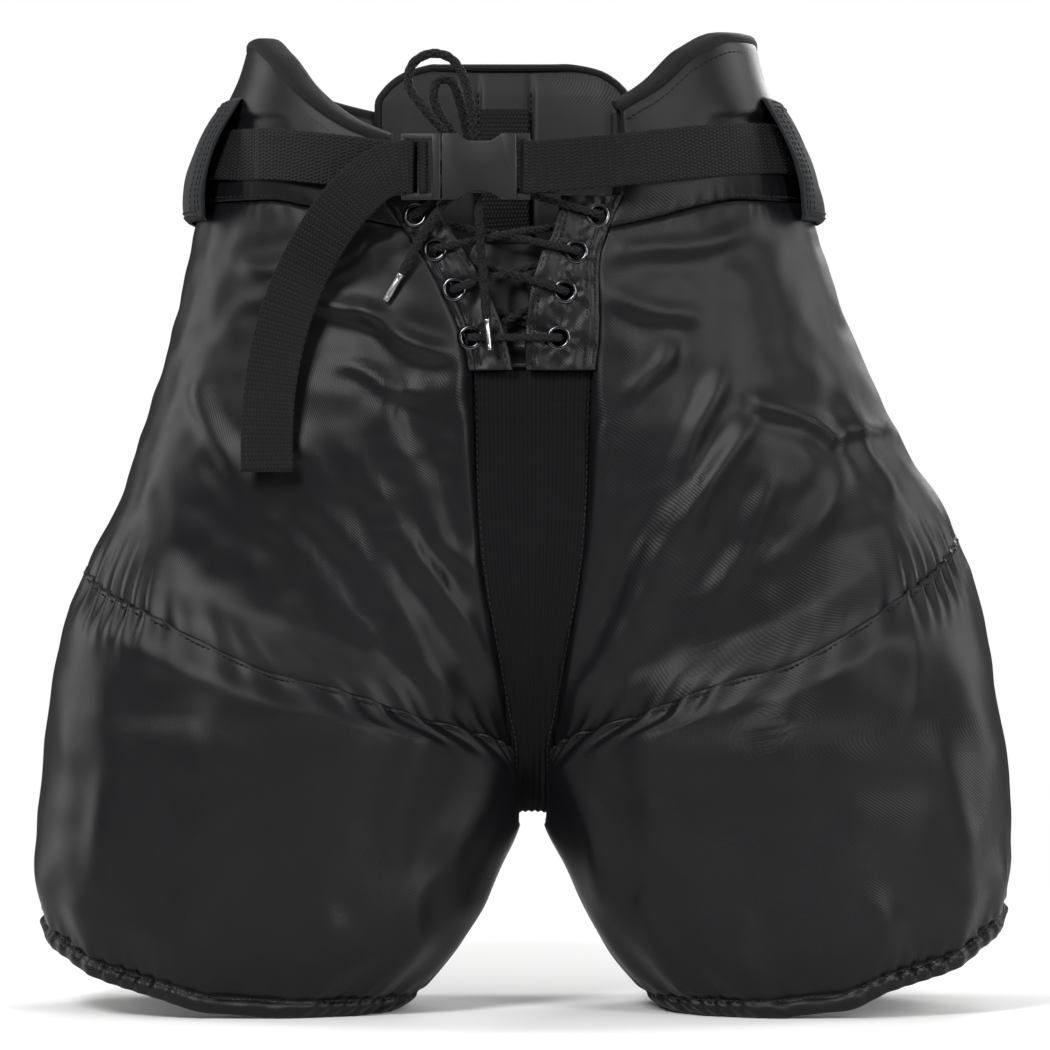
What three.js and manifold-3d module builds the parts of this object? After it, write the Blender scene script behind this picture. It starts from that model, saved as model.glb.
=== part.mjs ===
// Ice hockey pants, junior size: a padded nylon shell that stands on its two hems.
// Units are millimetres and +Z is up. The front of the pants faces -Y and the wearer's left is +X.
// The origin is on the floor, in the middle of the pants' outline.

import * as THREE from 'three';
import { mergeVertices } from 'three/addons/utils/BufferGeometryUtils.js';
import Module from 'manifold-3d';

const wasm = await Module();
wasm.setup();

// ---------------------------------------------------------------- driving dimensions

const SQUARENESS = 2.6; // exponent of every horizontal section: 2 is an ellipse, more is squarer
const GAP = 0.4; // kept between pieces that touch
const COVER = 2.2; // nylon cover with its backing
const HIP_TUCK = 8; // the hip cover runs this far down inside the thigh cover
const HEM_RIM = 6; // thickness of the folded hem that the pants stand on
const BAND_SEAM_FRONT = 386; // height of the waistband seam at the front
const BAND_SEAM_SIDE = 400; // and at the sides and back
const WEBBING_WIDTH = 25.4;
const WEBBING_THICKNESS = 1.6;
const LACE_DIAMETER = 4.5;
const LACING_DIAMETER = 3.6; // the lace pulled tight through the eyelets
const EYELET = { flange: 5.75, barrel: 4.6, bore: 3.65, hole: 5.1 };
const BUCKLE_Z = 414.5; // middle height of the buckle
const BUCKLE_Y = -99.5; // middle depth of the buckle
const CENTRE_SHIFT = 9.22; // brings the middle of the outline, belt tail included, to the origin

const SIDES = [
  { name: 'left', sign: 1 },
  { name: 'right', sign: -1 },
];

// ---------------------------------------------------------------- curves and sections

const { clamp, lerp, degToRad } = THREE.MathUtils;

// A smooth curve through [input, value] knots that doesn't overshoot them.
function curve(knots) {
  const secants = knots.slice(1).map(([x, y], i) => (y - knots[i][1]) / (x - knots[i][0]));
  const slopes = knots.map((_, i) => {
    const before = secants[Math.max(i - 1, 0)];
    const after = secants[Math.min(i, secants.length - 1)];
    return before * after <= 0 ? 0 : (2 * before * after) / (before + after);
  });
  const last = knots.length - 2;
  return (input) => {
    const x = clamp(input, knots[0][0], knots[last + 1][0]);
    let i = 0;
    while (i < last && x > knots[i + 1][0]) i += 1;
    const width = knots[i + 1][0] - knots[i][0];
    const t = (x - knots[i][0]) / width;
    const rise = t * t * (3 - 2 * t);
    const start = t * (1 - t) * (1 - t) * width * slopes[i];
    const end = t * t * (1 - t) * width * slopes[i + 1];
    return lerp(knots[i][1], knots[i + 1][1], rise) + start - end;
  };
}

const signedPower = (value, power) => Math.sign(value) * Math.abs(value) ** power;

// The pants stand slightly askew: the waist leans towards the wearer's right.
const centreX = curve([[0, 4], [320, 4], [400, -10], [480, -10]]);
const leanX = curve([[0, 0], [230, 0], [430, -11], [480, -11]]);

// Each half of the pants is a stack of superellipses. inner and outer are the distances of its
// inner and outer edge from the middle, and depth is half of its front-to-back size.
const HIP = {
  inner: curve([[92, 9.5], [130, 2], [190, -45], [262, -78], [302, -120], [342, -150],
    [382, -155], [400, -150], [422, -143], [445, -134], [464, -128], [480, -126]]),
  outer: curve([[92, 232], [130, 226], [190, 214], [230, 206], [262, 198], [302, 182],
    [342, 167], [382, 155], [400, 150], [422, 143], [445, 134], [464, 128], [480, 126]]),
  depth: curve([[92, 72], [130, 75], [190, 79], [230, 82.5], [262, 86], [302, 88.5],
    [342, 88], [382, 86], [400, 84], [422, 84], [445, 85], [464, 86.5], [480, 88]]),
};
const THIGH = {
  inner: curve([[0, 66], [13, 52], [33, 38.5], [53, 27], [73, 18.5], [92, 9.5], [110, 6],
    [130, 2], [160, -5], [190, -14], [240, -60]]),
  outer: curve([[0, 239], [53, 239.5], [92, 238.5], [130, 236], [160, 231], [190, 225],
    [240, 216]]),
  depth: curve([[0, 70], [33, 75], [73, 79], [110, 83], [130, 86], [160, 88.5], [190, 90.5],
    [240, 93]]),
};

// Half the width of the opening between the two halves, at the front and at the back.
const frontSlit = curve([[92, 9.5], [130, 9.5], [150, 13], [190, 20], [222, 25], [260, 28],
  [315, 29.5], [337, 33], [370, 41], [394, 53], [404, 57], [480, 57]]);
const backSlit = curve([[92, 9.5], [130, 9.5], [190, 21], [250, 34], [300, 50], [350, 64],
  [400, 70], [480, 70]]);

// Edges of the panels, as heights against u, which runs round a half from the front opening
// (0) over the outer side (0.5) to the back opening (1).
const thighSeam = {
  left: curve([[0, 130], [0.1, 148], [0.17, 168], [0.23, 190], [0.3, 210], [0.5, 236],
    [0.7, 214], [0.83, 180], [1, 130]]),
  right: curve([[0, 130], [0.1, 146], [0.17, 164], [0.23, 184], [0.3, 200], [0.5, 220],
    [0.7, 204], [0.83, 176], [1, 130]]),
};
const hem = {
  left: curve([[0, 0], [0.2, 0], [0.25, 3], [0.29, 13], [0.36, 23], [0.41, 33], [0.5, 44],
    [0.6, 30], [0.7, 12], [0.78, 0], [1, 0]]),
  right: curve([[0, 0], [0.2, 0], [0.25, 2], [0.29, 9], [0.36, 19], [0.41, 28], [0.5, 38],
    [0.6, 26], [0.7, 10], [0.78, 0], [1, 0]]),
};
const bandSeam = curve([[0, BAND_SEAM_FRONT], [0.2, BAND_SEAM_SIDE], [1, BAND_SEAM_SIDE]]);
const waistTop = {
  left: curve([[0, 444], [0.07, 455], [0.16, 471], [0.28, 479.5], [0.42, 480], [0.6, 470],
    [0.8, 457], [1, 448]]),
  right: curve([[0, 428], [0.06, 435], [0.185, 454], [0.29, 470], [0.4, 478], [0.5, 477],
    [0.65, 468], [0.82, 456], [1, 447]]),
};

// The superellipse of one half at a height, in that half's own x, which grows outwards.
function section(shell, sign, z) {
  const inner = centreX(z) * sign + shell.inner(z);
  const outer = leanX(z) * sign + shell.outer(z);
  return { middle: (inner + outer) / 2, half: (outer - inner) / 2, depth: shell.depth(z) };
}

// The angle at which a half's section meets the edge of its opening.
function slitAngle(shell, sign, z, slit) {
  const { middle, half } = section(shell, sign, z);
  const across = (middle - centreX(z) * sign - slit(z)) / half;
  return Math.acos(clamp(signedPower(across, SQUARENESS / 2), -1, 1));
}

// A point on a half, offset outwards from its surface. The angle is 0 at the inner side,
// 90 degrees at the front, 180 at the outer side and 270 at the back.
function pointAtAngle(shell, sign, angle, z, offset) {
  const { middle, half, depth } = section(shell, sign, z);
  const power = 2 / SQUARENESS;
  const x = middle - (half + offset) * signedPower(Math.cos(angle), power);
  return [sign * x, -(depth + offset) * signedPower(Math.sin(angle), power), z];
}

// The same, placed by u from the front opening to the back opening.
function pointOnHalf(shell, sign, u, z, offset) {
  const front = slitAngle(shell, sign, z, frontSlit);
  const back = 2 * Math.PI - slitAngle(shell, sign, z, backSlit);
  const angle = u < 0.5 ? lerp(front, Math.PI, u * 2) : lerp(Math.PI, back, u * 2 - 1);
  return pointAtAngle(shell, sign, angle, z, offset);
}

// Depth of the hip's surface at a given x and height; facing is -1 at the front, 1 at the back.
function surfaceY(x, z, offset, facing) {
  const sign = x >= centreX(z) ? 1 : -1;
  const { middle, half, depth } = section(HIP, sign, z);
  const across = Math.min(Math.abs((sign * x - middle) / (half + offset)), 1);
  return facing * (depth + offset) * (1 - across ** SQUARENESS) ** (1 / SQUARENESS);
}

// ---------------------------------------------------------------- solids

function indexedGeometry(positions, index) {
  const geometry = new THREE.BufferGeometry();
  geometry.setAttribute('position', new THREE.Float32BufferAttribute(positions, 3));
  geometry.setIndex(index);
  return signedVolume(geometry) < 0 ? turnedInsideOut(geometry) : geometry;
}

function signedVolume(geometry) {
  const corners = geometry.index.array;
  const point = (i) => new THREE.Vector3().fromBufferAttribute(geometry.attributes.position, i);
  let sixfold = 0;
  for (let i = 0; i < corners.length; i += 3) {
    const cross = point(corners[i + 1]).cross(point(corners[i + 2]));
    sixfold += point(corners[i]).dot(cross);
  }
  return sixfold / 6;
}

function turnedInsideOut(geometry) {
  const corners = Array.from(geometry.index.array);
  for (let i = 0; i < corners.length; i += 3) {
    [corners[i + 1], corners[i + 2]] = [corners[i + 2], corners[i + 1]];
  }
  geometry.setIndex(corners);
  return geometry;
}

// A closed solid between two sheets that are sampled on the same grid of u and v, 0 to 1.
function sheetSolid(columns, rows, outerSheet, innerSheet) {
  const stride = columns + 1;
  const layer = stride * (rows + 1);
  const positions = [];
  for (const sheet of [outerSheet, innerSheet]) {
    for (let r = 0; r <= rows; r += 1) {
      for (let c = 0; c <= columns; c += 1) positions.push(...sheet(c / columns, r / rows));
    }
  }
  const index = [];
  const quad = (a, b, c, d) => index.push(a, b, c, a, c, d);
  for (let r = 0; r < rows; r += 1) {
    for (let c = 0; c < columns; c += 1) {
      const k = r * stride + c;
      quad(k, k + 1, k + stride + 1, k + stride);
      quad(layer + k, layer + k + stride, layer + k + stride + 1, layer + k + 1);
    }
  }
  const edge = (a, b) => quad(a, layer + a, layer + b, b);
  for (let c = 0; c < columns; c += 1) {
    edge(c, c + 1);
    edge(rows * stride + c + 1, rows * stride + c);
  }
  for (let r = 0; r < rows; r += 1) {
    edge((r + 1) * stride, r * stride);
    edge(r * stride + columns, (r + 1) * stride + columns);
  }
  return indexedGeometry(positions, index);
}

// A solid through a row of sections, each the same number of points in the same order.
function loft(sections) {
  const count = sections[0].length;
  const positions = sections.flat().flatMap((point) => point.toArray());
  const index = [];
  for (let s = 0; s < sections.length - 1; s += 1) {
    for (let i = 0; i < count; i += 1) {
      const a = s * count + i;
      const b = s * count + ((i + 1) % count);
      index.push(a, b, b + count, a, b + count, a + count);
    }
  }
  const end = (sections.length - 1) * count;
  for (let i = 1; i < count - 1; i += 1) {
    index.push(0, i + 1, i);
    index.push(end, end + i, end + i + 1);
  }
  return indexedGeometry(positions, index);
}

// A flat strap through its middle points, with the direction of its width at each point.
function strap(points, widths, width = WEBBING_WIDTH, thickness = WEBBING_THICKNESS) {
  const sections = points.map((point, i) => {
    const before = points[Math.max(i - 1, 0)];
    const after = points[Math.min(i + 1, points.length - 1)];
    const along = after.clone().sub(before).normalize();
    const across = widths[i].clone().addScaledVector(along, -widths[i].dot(along)).normalize();
    const normal = along.clone().cross(across);
    return [[-1, -1], [1, -1], [1, 1], [-1, 1]].map(([s, t]) => point.clone()
      .addScaledVector(across, (s * width) / 2)
      .addScaledVector(normal, (t * thickness) / 2));
  });
  return loft(sections);
}

// A round cord along a smooth path.
function cord(points, diameter, steps) {
  const sides = 8;
  const outline = Array.from({ length: sides }, (_, i) => {
    const angle = (i * 2 * Math.PI) / sides;
    return new THREE.Vector2(Math.cos(angle), Math.sin(angle)).multiplyScalar(diameter / 2);
  });
  return new THREE.ExtrudeGeometry(new THREE.Shape(outline), {
    steps, extrudePath: smoothPath(points), bevelEnabled: false,
  });
}

const vectors = (points) => points.map((point) => new THREE.Vector3(...point));
const smoothPath = (points) => new THREE.CatmullRomCurve3(vectors(points), false, 'centripetal');

function box(x0, x1, y0, y1, z0, z1) {
  const geometry = new THREE.BoxGeometry(x1 - x0, y1 - y0, z1 - z0);
  geometry.translate((x0 + x1) / 2, (y0 + y1) / 2, (z0 + z1) / 2);
  return geometry;
}

function toManifold(geometry) {
  const bare = geometry.clone();
  bare.deleteAttribute('normal');
  bare.deleteAttribute('uv');
  const merged = mergeVertices(bare, 1e-4);
  return new wasm.Manifold(new wasm.Mesh({
    numProp: 3,
    vertProperties: Float32Array.from(merged.attributes.position.array),
    triVerts: Uint32Array.from(merged.index.array),
  }));
}

function fromManifold(solid) {
  const mesh = solid.getMesh();
  const geometry = new THREE.BufferGeometry();
  geometry.setAttribute('position', new THREE.BufferAttribute(mesh.vertProperties, 3));
  geometry.setIndex(new THREE.BufferAttribute(mesh.triVerts, 1));
  return geometry;
}

const joined = (pieces) => pieces.map(toManifold).reduce((all, piece) => all.add(piece));
const withoutPieces = (solid, cuts) => cuts.map(toManifold)
  .reduce((rest, cut) => rest.subtract(cut), solid);

// ---------------------------------------------------------------- materials

const material = (color, roughness, metalness = 0) => new THREE.MeshStandardMaterial({
  color, roughness, metalness,
});
const MATERIALS = {
  nylon: material(0x17171a, 0.5),
  lining: material(0x1c1d20, 0.8),
  knit: material(0x111113, 0.95),
  canvas: material(0x202124, 0.9),
  foam: material(0x4a4c50, 0.95),
  plastic: material(0xd8dadd, 0.45),
  webbing: material(0x0e0e10, 0.85),
  lace: material(0x0c0c0e, 0.9),
  buckle: material(0x101113, 0.35),
  metal: material(0x50545a, 0.3, 1),
  silver: material(0xc8ccd0, 0.2, 1),
};

const pants = new THREE.Group();

function place(name, geometry, finish) {
  const mesh = new THREE.Mesh(geometry, finish);
  mesh.name = name;
  pants.add(mesh);
  return mesh;
}

// ---------------------------------------------------------------- layers of a half

// Every layer of a half is facetted on the same lattice of u and v, so the layers nest.
const LATTICE_U = Array.from({ length: 17 }, (_, i) => i / 16);
const LATTICE_V = [0, 1 / 6, 2 / 6, 3 / 6, 4 / 6, 5 / 6, 1, 1.25, 1.5, 1.75, 2];
const OUTER_SEAM = 0.5; // u of the side seam
const SEAM_HALF_GAP = 0.0008; // half of the gap at a side or inner seam, as a part of u

// The two ends of a stretch of the lattice, and the stations between them.
function stationsBetween(lattice, [from, to]) {
  const margin = 0.01;
  return [from, ...lattice.filter((k) => k > from + margin && k < to - margin), to];
}

// The hip cover ends above the thigh cover at the crotch and is tucked inside it further out.
function tuck(u) {
  return lerp(-1.5, HIP_TUCK, clamp(Math.min(u, 1 - u) / 0.22, 0, 1));
}

// Height on the hip: v is 0 at its lower edge, 1 at the waistband seam and 2 at the top.
function hipHeight(name, u, v) {
  const lower = thighSeam[name](u) - tuck(u);
  if (v <= 1) return lerp(lower, bandSeam(u), v);
  return lerp(bandSeam(u), waistTop[name](u), v - 1);
}

// Height on the thigh: v is 0 at the hem and 1 at the thigh seam.
function thighHeight(name, u, v) {
  return lerp(hem[name](u), thighSeam[name](u), v);
}

// A layer of a half: a stretch of u and v between two offsets from the surface.
function layer({ shell, height, side, across, up, face, back }) {
  const us = stationsBetween(LATTICE_U, across);
  const vs = stationsBetween(LATTICE_V, up);
  const columns = us.length - 1;
  const rows = vs.length - 1;
  const sheet = (offset) => (s, t) => {
    const u = us[Math.round(s * columns)];
    const v = vs[Math.round(t * rows)];
    const depth = typeof offset === 'function' ? offset(v) : offset;
    return pointOnHalf(shell, side.sign, u, height(side.name, u, v), depth);
  };
  return sheetSolid(columns, rows, sheet(face), sheet(back));
}

const hipLayer = (side, across, up, face, back) => layer({
  shell: HIP, height: hipHeight, side, across, up, face, back,
});
const thighLayer = (side, across, up, face, back) => layer({
  shell: THIGH, height: thighHeight, side, across, up, face, back,
});

const FRONT_HALF = [SEAM_HALF_GAP, OUTER_SEAM - SEAM_HALF_GAP];
const BACK_HALF = [OUTER_SEAM + SEAM_HALF_GAP, 1 - SEAM_HALF_GAP];
const BELOW_BAND = 0.998; // the hip panels stop just under the waistband

function addHip(side) {
  const { name } = side;
  const front = hipLayer(side, FRONT_HALF, [0, BELOW_BAND], 0, -COVER);
  const seat = hipLayer(side, BACK_HALF, [0, BELOW_BAND], 0, -COVER);
  const band = hipLayer(side, [0, 1], [1, 2], 0, -COVER);
  const hipFoam = hipLayer(side, [4 / 16, 11 / 16], [1 / 6, 5 / 6], -4.6, -11.5);
  const kidneyFoam = hipLayer(side, [1 / 16, 15 / 16], [1.25, 1.75], -4.6, -10);
  const lining = hipLayer(side, [0, 1], [1 / 6, 1.9], -13.5, -15);
  place(`${name}_hip_panel`, front, MATERIALS.nylon);
  place(`${name}_seat_panel`, seat, MATERIALS.nylon);
  place(`${name}_waistband`, band, MATERIALS.nylon);
  place(`${name}_hip_foam`, hipFoam, MATERIALS.foam);
  place(`${name}_kidney_foam`, kidneyFoam, MATERIALS.foam);
  place(`${name}_hip_lining`, lining, MATERIALS.lining);
}

// The thigh pads stop at two thirds of the height, clear of the hip when the leg swings.
function addThigh(side) {
  const { name } = side;
  const rim = (v) => -lerp(HEM_RIM, COVER, clamp(v * 6, 0, 1));
  const front = thighLayer(side, FRONT_HALF, [0, 1], 0, rim);
  const back = thighLayer(side, BACK_HALF, [0, 1], 0, rim);
  const cap = thighLayer(side, [3 / 16, 9 / 16], [1 / 6, 4 / 6], -4.2, -5.8);
  const foam = thighLayer(side, [2 / 16, 14 / 16], [1 / 6, 4 / 6], -7.2, -15.5);
  const lining = thighLayer(side, [SEAM_HALF_GAP, 1 - SEAM_HALF_GAP], [1 / 6, 4 / 6], -17, -18.5);
  const elastic = thighLayer(side, [2 / 16, 14 / 16], [0.04, 0.1], -7.4, -8.6);
  place(`${name}_thigh_front_panel`, front, MATERIALS.nylon);
  place(`${name}_thigh_back_panel`, back, MATERIALS.nylon);
  place(`${name}_thigh_cap`, cap, MATERIALS.plastic);
  place(`${name}_thigh_foam`, foam, MATERIALS.foam);
  place(`${name}_thigh_lining`, lining, MATERIALS.lining);
  place(`${name}_hem_elastic`, elastic, MATERIALS.webbing);
}

for (const side of SIDES) {
  addHip(side);
  addThigh(side);
}

// ---------------------------------------------------------------- middle panels

// A panel across the middle, at a given height: its half width and its depth are functions of z.
function middlePanel({ from, to, halfWidth, face, back, facing, columns, rows }) {
  const sheet = (offset) => (s, t) => {
    const z = lerp(from, to, t);
    const x = centreX(z) + lerp(-1, 1, s) * halfWidth(z);
    const depth = typeof offset === 'function' ? offset(z) : offset;
    return [x, surfaceY(x, z, depth, facing), z];
  };
  return sheetSolid(columns, rows, sheet(face), sheet(back));
}

// The knit gusset runs from the fly under the crotch and up to the back pad.
const GUSSET_PROFILE = [[-84, 316], [-83, 285], [-82.5, 255], [-79, 225], [-72, 195], [-62, 168],
  [-48, 142], [-30, 116], [-12, 100.5], [0, 96.5]];
const GUSSET_THICKNESS = 2.4;

function addGusset() {
  const mirrored = GUSSET_PROFILE.slice(0, -1).reverse().map(([y, z]) => [-y, z]);
  const points = [...GUSSET_PROFILE, ...mirrored].map(([y, z]) => [0, y, Math.min(z, 296 + 20 * (y < 0))]);
  const path = smoothPath(points);
  const sheet = (lift) => (s, t) => {
    const point = path.getPointAt(t);
    const along = path.getTangentAt(t);
    const slit = point.y < 0 ? frontSlit : backSlit;
    const halfWidth = Math.min(slit(point.z) - 1.2, 27);
    const x = centreX(point.z) + lerp(-1, 1, s) * halfWidth;
    return [x, point.y + along.z * lift, point.z - along.y * lift];
  };
  place('crotch_gusset', sheetSolid(2, 26, sheet(0), sheet(-GUSSET_THICKNESS)), MATERIALS.knit);
}

// The tongue behind the lacing has an arched top.
function addTongue() {
  const archFrom = 352;
  const archTo = 381;
  const halfWidth = (z) => {
    const rise = clamp((z - archFrom) / (archTo - archFrom), 0, 1);
    return 25 - 15 * (1 - Math.sqrt(1 - rise * rise));
  };
  const depth = (z) => -lerp(4, 13, clamp((z - 319) / 9, 0, 1));
  const geometry = middlePanel({
    from: 319, to: archTo, halfWidth, face: depth, back: (z) => depth(z) - 3.5, facing: -1,
    columns: 4, rows: 8,
  });
  place('fly_tongue', geometry, MATERIALS.knit);
}

// The back pad: a cover, a stiff plate, foam and a lining, with rounded upper corners.
const BACK_PAD = { bottom: 300, top: 473, halfWidth: 68, corner: 30 };

function backPadHalfWidth(inset) {
  return (z) => {
    const { top, corner, halfWidth } = BACK_PAD;
    const rise = clamp((z - (top - corner - inset)) / corner, 0, 1);
    const rounded = halfWidth - corner * (1 - Math.sqrt(1 - rise * rise));
    return Math.min(backSlit(z) - 5, rounded) - inset;
  };
}

function addBackPad() {
  const layers = [
    { name: 'back_pad_cover', inset: 0, face: 0, back: -COVER, finish: MATERIALS.nylon },
    { name: 'tailbone_plate', inset: 16, face: -4, back: -6, finish: MATERIALS.plastic },
    { name: 'tailbone_foam', inset: 6, face: -8, back: -15, finish: MATERIALS.foam },
    { name: 'back_pad_lining', inset: 1, face: -16.8, back: -18.4, finish: MATERIALS.nylon },
  ];
  for (const { name, inset, face, back, finish } of layers) {
    const geometry = middlePanel({
      from: BACK_PAD.bottom + inset, to: BACK_PAD.top - inset, halfWidth: backPadHalfWidth(inset),
      face, back, facing: 1, columns: 6, rows: 8,
    });
    place(name, geometry, finish);
  }
  // A webbing loop on the inside of the back pad, which the pants hang up by.
  const tab = middlePanel({
    from: 378, to: 452, halfWidth: () => 12.7, face: -19.2, back: -20.8, facing: 1,
    columns: 2, rows: 4,
  });
  place('hanger_tab', tab, MATERIALS.webbing);
}

// ---------------------------------------------------------------- fly: plackets and eyelets

// Inner edges of the two eyelet strips, as x against z; their outer edges follow the opening.
const placketEdge = {
  left: curve([[316, 1], [328, 0.5], [343, 1.5], [356, 3], [365, 5.5], [375, 9], [382, 13.5],
    [400, 18]]),
  right: curve([[316, -5], [336, -10], [355, -17.5], [378, -31], [390, -39], [400, -44]]),
};
const EYELETS = {
  left: [[36, 391.5], [25.4, 374], [19.9, 354.6], [16.9, 332.2]],
  right: [[-52.8, 391.5], [-43.3, 375], [-33.9, 355.6], [-26, 332.2]],
};
const PLACKET = { bottom: 316.5, top: 401.5 };

// Unit vector out of the front of the hip at a point.
function frontNormal(x, z) {
  const step = 2;
  const slopeX = (surfaceY(x + step, z, 0, -1) - surfaceY(x - step, z, 0, -1)) / (2 * step);
  const slopeZ = (surfaceY(x, z + step, 0, -1) - surfaceY(x, z - step, 0, -1)) / (2 * step);
  return new THREE.Vector3(slopeX, -1, slopeZ).normalize();
}

function eyeletFrame([x, z]) {
  const normal = frontNormal(x, z);
  const place3 = new THREE.Vector3(x, surfaceY(x, z, 0, -1), z);
  const turn = new THREE.Quaternion().setFromUnitVectors(new THREE.Vector3(0, 1, 0), normal);
  return { normal, centre: place3, turn };
}

function addPlacket(side) {
  const outerEdge = (z) => centreX(z) + side.sign * (frontSlit(z) - 2);
  const sheet = (offset) => (s, t) => {
    const z = lerp(PLACKET.bottom, PLACKET.top, t);
    const x = lerp(outerEdge(z), placketEdge[side.name](z), s);
    return [x, surfaceY(x, z, offset, -1), z];
  };
  const strip = sheetSolid(3, 8, sheet(0), sheet(-COVER));
  const holes = EYELETS[side.name].map((spot) => {
    const { centre, turn } = eyeletFrame(spot);
    const hole = new THREE.CylinderGeometry(EYELET.hole, EYELET.hole, 12, 10);
    hole.applyQuaternion(turn);
    hole.translate(...centre.toArray());
    return hole;
  });
  const geometry = fromManifold(withoutPieces(toManifold(strip), holes));
  place(`${side.name}_placket`, geometry, MATERIALS.nylon);
  EYELETS[side.name].forEach((spot, i) => {
    const ring = place(`${side.name}_eyelet_${i + 1}`, eyeletGeometry(), MATERIALS.metal);
    const { centre, turn } = eyeletFrame(spot);
    ring.position.copy(centre);
    ring.quaternion.copy(turn);
  });
}

// A rolled ring with a flange in front of the strip and one behind it. Its axis is Y.
function eyeletGeometry() {
  const { flange, barrel, bore } = EYELET;
  const front = 0.5;
  const behind = -COVER - 0.5;
  const lip = 0.9;
  const profile = [[bore, behind - lip], [flange, behind - lip * 0.6], [flange, behind],
    [barrel, behind], [barrel, front], [flange, front], [flange, front + lip * 0.6],
    [bore, front + lip], [bore, behind - lip]];
  return new THREE.LatheGeometry(profile.map(([x, y]) => new THREE.Vector2(x, y)), 10);
}

for (const side of SIDES) addPlacket(side);
addGusset();
addTongue();
addBackPad();

// ---------------------------------------------------------------- belt and its tunnels

const TUNNEL = { bottom: 391, top: 451, from: degToRad(153), to: degToRad(236), wall: 1.8 };
const BELT_OFFSET = 4.6; // of the belt's middle from the waistband, inside a tunnel
const BELT_SIDE_Z = 424; // height of the belt at the sides and the back
const BELT_MOUTH_Z = { left: 426, right: 423 }; // and where it leaves the tunnels

// A fabric tunnel sewn on the waistband along its two edges, open at both ends.
function addTunnel({ name, sign }) {
  const sheet = (lift) => (s, t) => {
    const angle = lerp(TUNNEL.from, TUNNEL.to, s);
    const flare = 3 * (1 - s) ** 3;
    const bulge = Math.sin(Math.PI * t) ** 0.4;
    const offset = 1.5 + lift + (6.6 + flare) * bulge;
    return pointAtAngle(HIP, sign, angle, lerp(TUNNEL.bottom, TUNNEL.top, t), offset);
  };
  place(`${name}_belt_tunnel`, sheetSolid(8, 6, sheet(TUNNEL.wall), sheet(0)), MATERIALS.canvas);
}

// The belt's middle and the direction of its width at an angle round the waist.
function beltStation(sign, degrees) {
  const toSide = clamp((degrees - 153) / 27, 0, 1);
  const z = lerp(BELT_MOUTH_Z[sign > 0 ? 'left' : 'right'], BELT_SIDE_Z, toSide);
  const at = (height) => new THREE.Vector3(
    ...pointAtAngle(HIP, sign, degToRad(degrees), height, BELT_OFFSET),
  );
  const halfWidth = WEBBING_WIDTH / 2;
  return [at(z), at(z + halfWidth).sub(at(z - halfWidth)).normalize()];
}

const range = (from, to, step) => Array.from(
  { length: Math.round((to - from) / step) + 1 }, (_, i) => from + i * step,
);
const upright = (points) => points.map(() => new THREE.Vector3(0, 0, 1));

// The belt is sewn round the socket's bar and runs round the wearer's left, the back and
// through the right tunnel. It stops outside that tunnel, where the moving end begins.
function addBelt() {
  const aroundBar = [[15, -96.6, BUCKLE_Z], [0.6, -96.6, BUCKLE_Z], [-0.9, -97.6, BUCKLE_Z],
    [-1.2, BUCKLE_Y, BUCKLE_Z], [-0.9, -101.4, BUCKLE_Z], [0.6, -102.4, BUCKLE_Z],
    [5, -102.3, BUCKLE_Z], [16, -101.2, 415.3]];
  const front = [[36, -99.5, 417], [66, -89, 420.5], [95, -72.5, 424]];
  const standing = (points) => vectors(points).map((point) => [point, new THREE.Vector3(0, 0, 1)]);
  const left = range(153, 265, 8).map((degrees) => beltStation(1, degrees));
  const right = range(153, 265, 8).reverse().map((degrees) => beltStation(-1, degrees));
  const fixedEnd = [[-134, -60.5, 422.4], [-124, -68, 422.4], [-109, -77.4, 420.8]];
  const stations = [...standing([...aroundBar, ...front]), ...left, ...right,
    ...standing(fixedEnd)];
  const points = stations.map(([point]) => point);
  place('belt', strap(points, stations.map(([, width]) => width)), MATERIALS.webbing);
}

// The moving end of the belt, from outside the right tunnel into the ladder lock.
function addBeltEnd() {
  const points = vectors([[-105, -80, 420.1], [-86, -89.5, 417.8],
    [-70, -95, 415.6], [-61, -96.6, BUCKLE_Z], [-49, -96.6, BUCKLE_Z], [-47.4, -97.6, BUCKLE_Z],
    [-47, BUCKLE_Y, BUCKLE_Z], [-47.4, -101.4, BUCKLE_Z], [-49, -102.4, BUCKLE_Z],
    [-51, -102.4, BUCKLE_Z]]);
  place('belt_end', strap(points, upright(points), WEBBING_WIDTH - 0.6), MATERIALS.webbing);
}

// The tail comes out of the ladder lock over its outer bar, curves round and hangs down.
function addBeltTail() {
  const stations = [
    [[-53.6, -101.4, 414.5], [0, 0, -1]],
    [[-57.7, -102.4, 414.5], [0, 0, -1]],
    [[-64, -103, 413.5], [0.12, 0, -1]],
    [[-72, -105, 409.5], [0.35, 0.05, -0.95]],
    [[-81, -106, 401.5], [0.5, 0.1, -0.85]],
    [[-90, -104, 391.5], [0.62, 0.15, -0.75]],
    [[-98, -100.5, 380], [0.72, 0.18, -0.65]],
    [[-106, -95.5, 366], [0.82, 0.15, -0.5]],
    [[-113, -94, 350], [0.9, 0.05, -0.4]],
    [[-119, -93.5, 330], [0.95, -0.05, -0.25]],
    [[-123, -94, 308], [1, -0.08, -0.15]],
    [[-124.5, -95, 286], [1, -0.05, 0]],
    [[-124.5, -96, 267], [1, 0, 0]],
  ];
  const points = vectors(stations.map(([point]) => point));
  const widths = vectors(stations.map(([, width]) => width));
  place('belt_tail', strap(points, widths), MATERIALS.webbing);
}

for (const side of SIDES) addTunnel(side);
addBelt();
addBeltEnd();
addBeltTail();

// ---------------------------------------------------------------- side-release buckle

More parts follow.
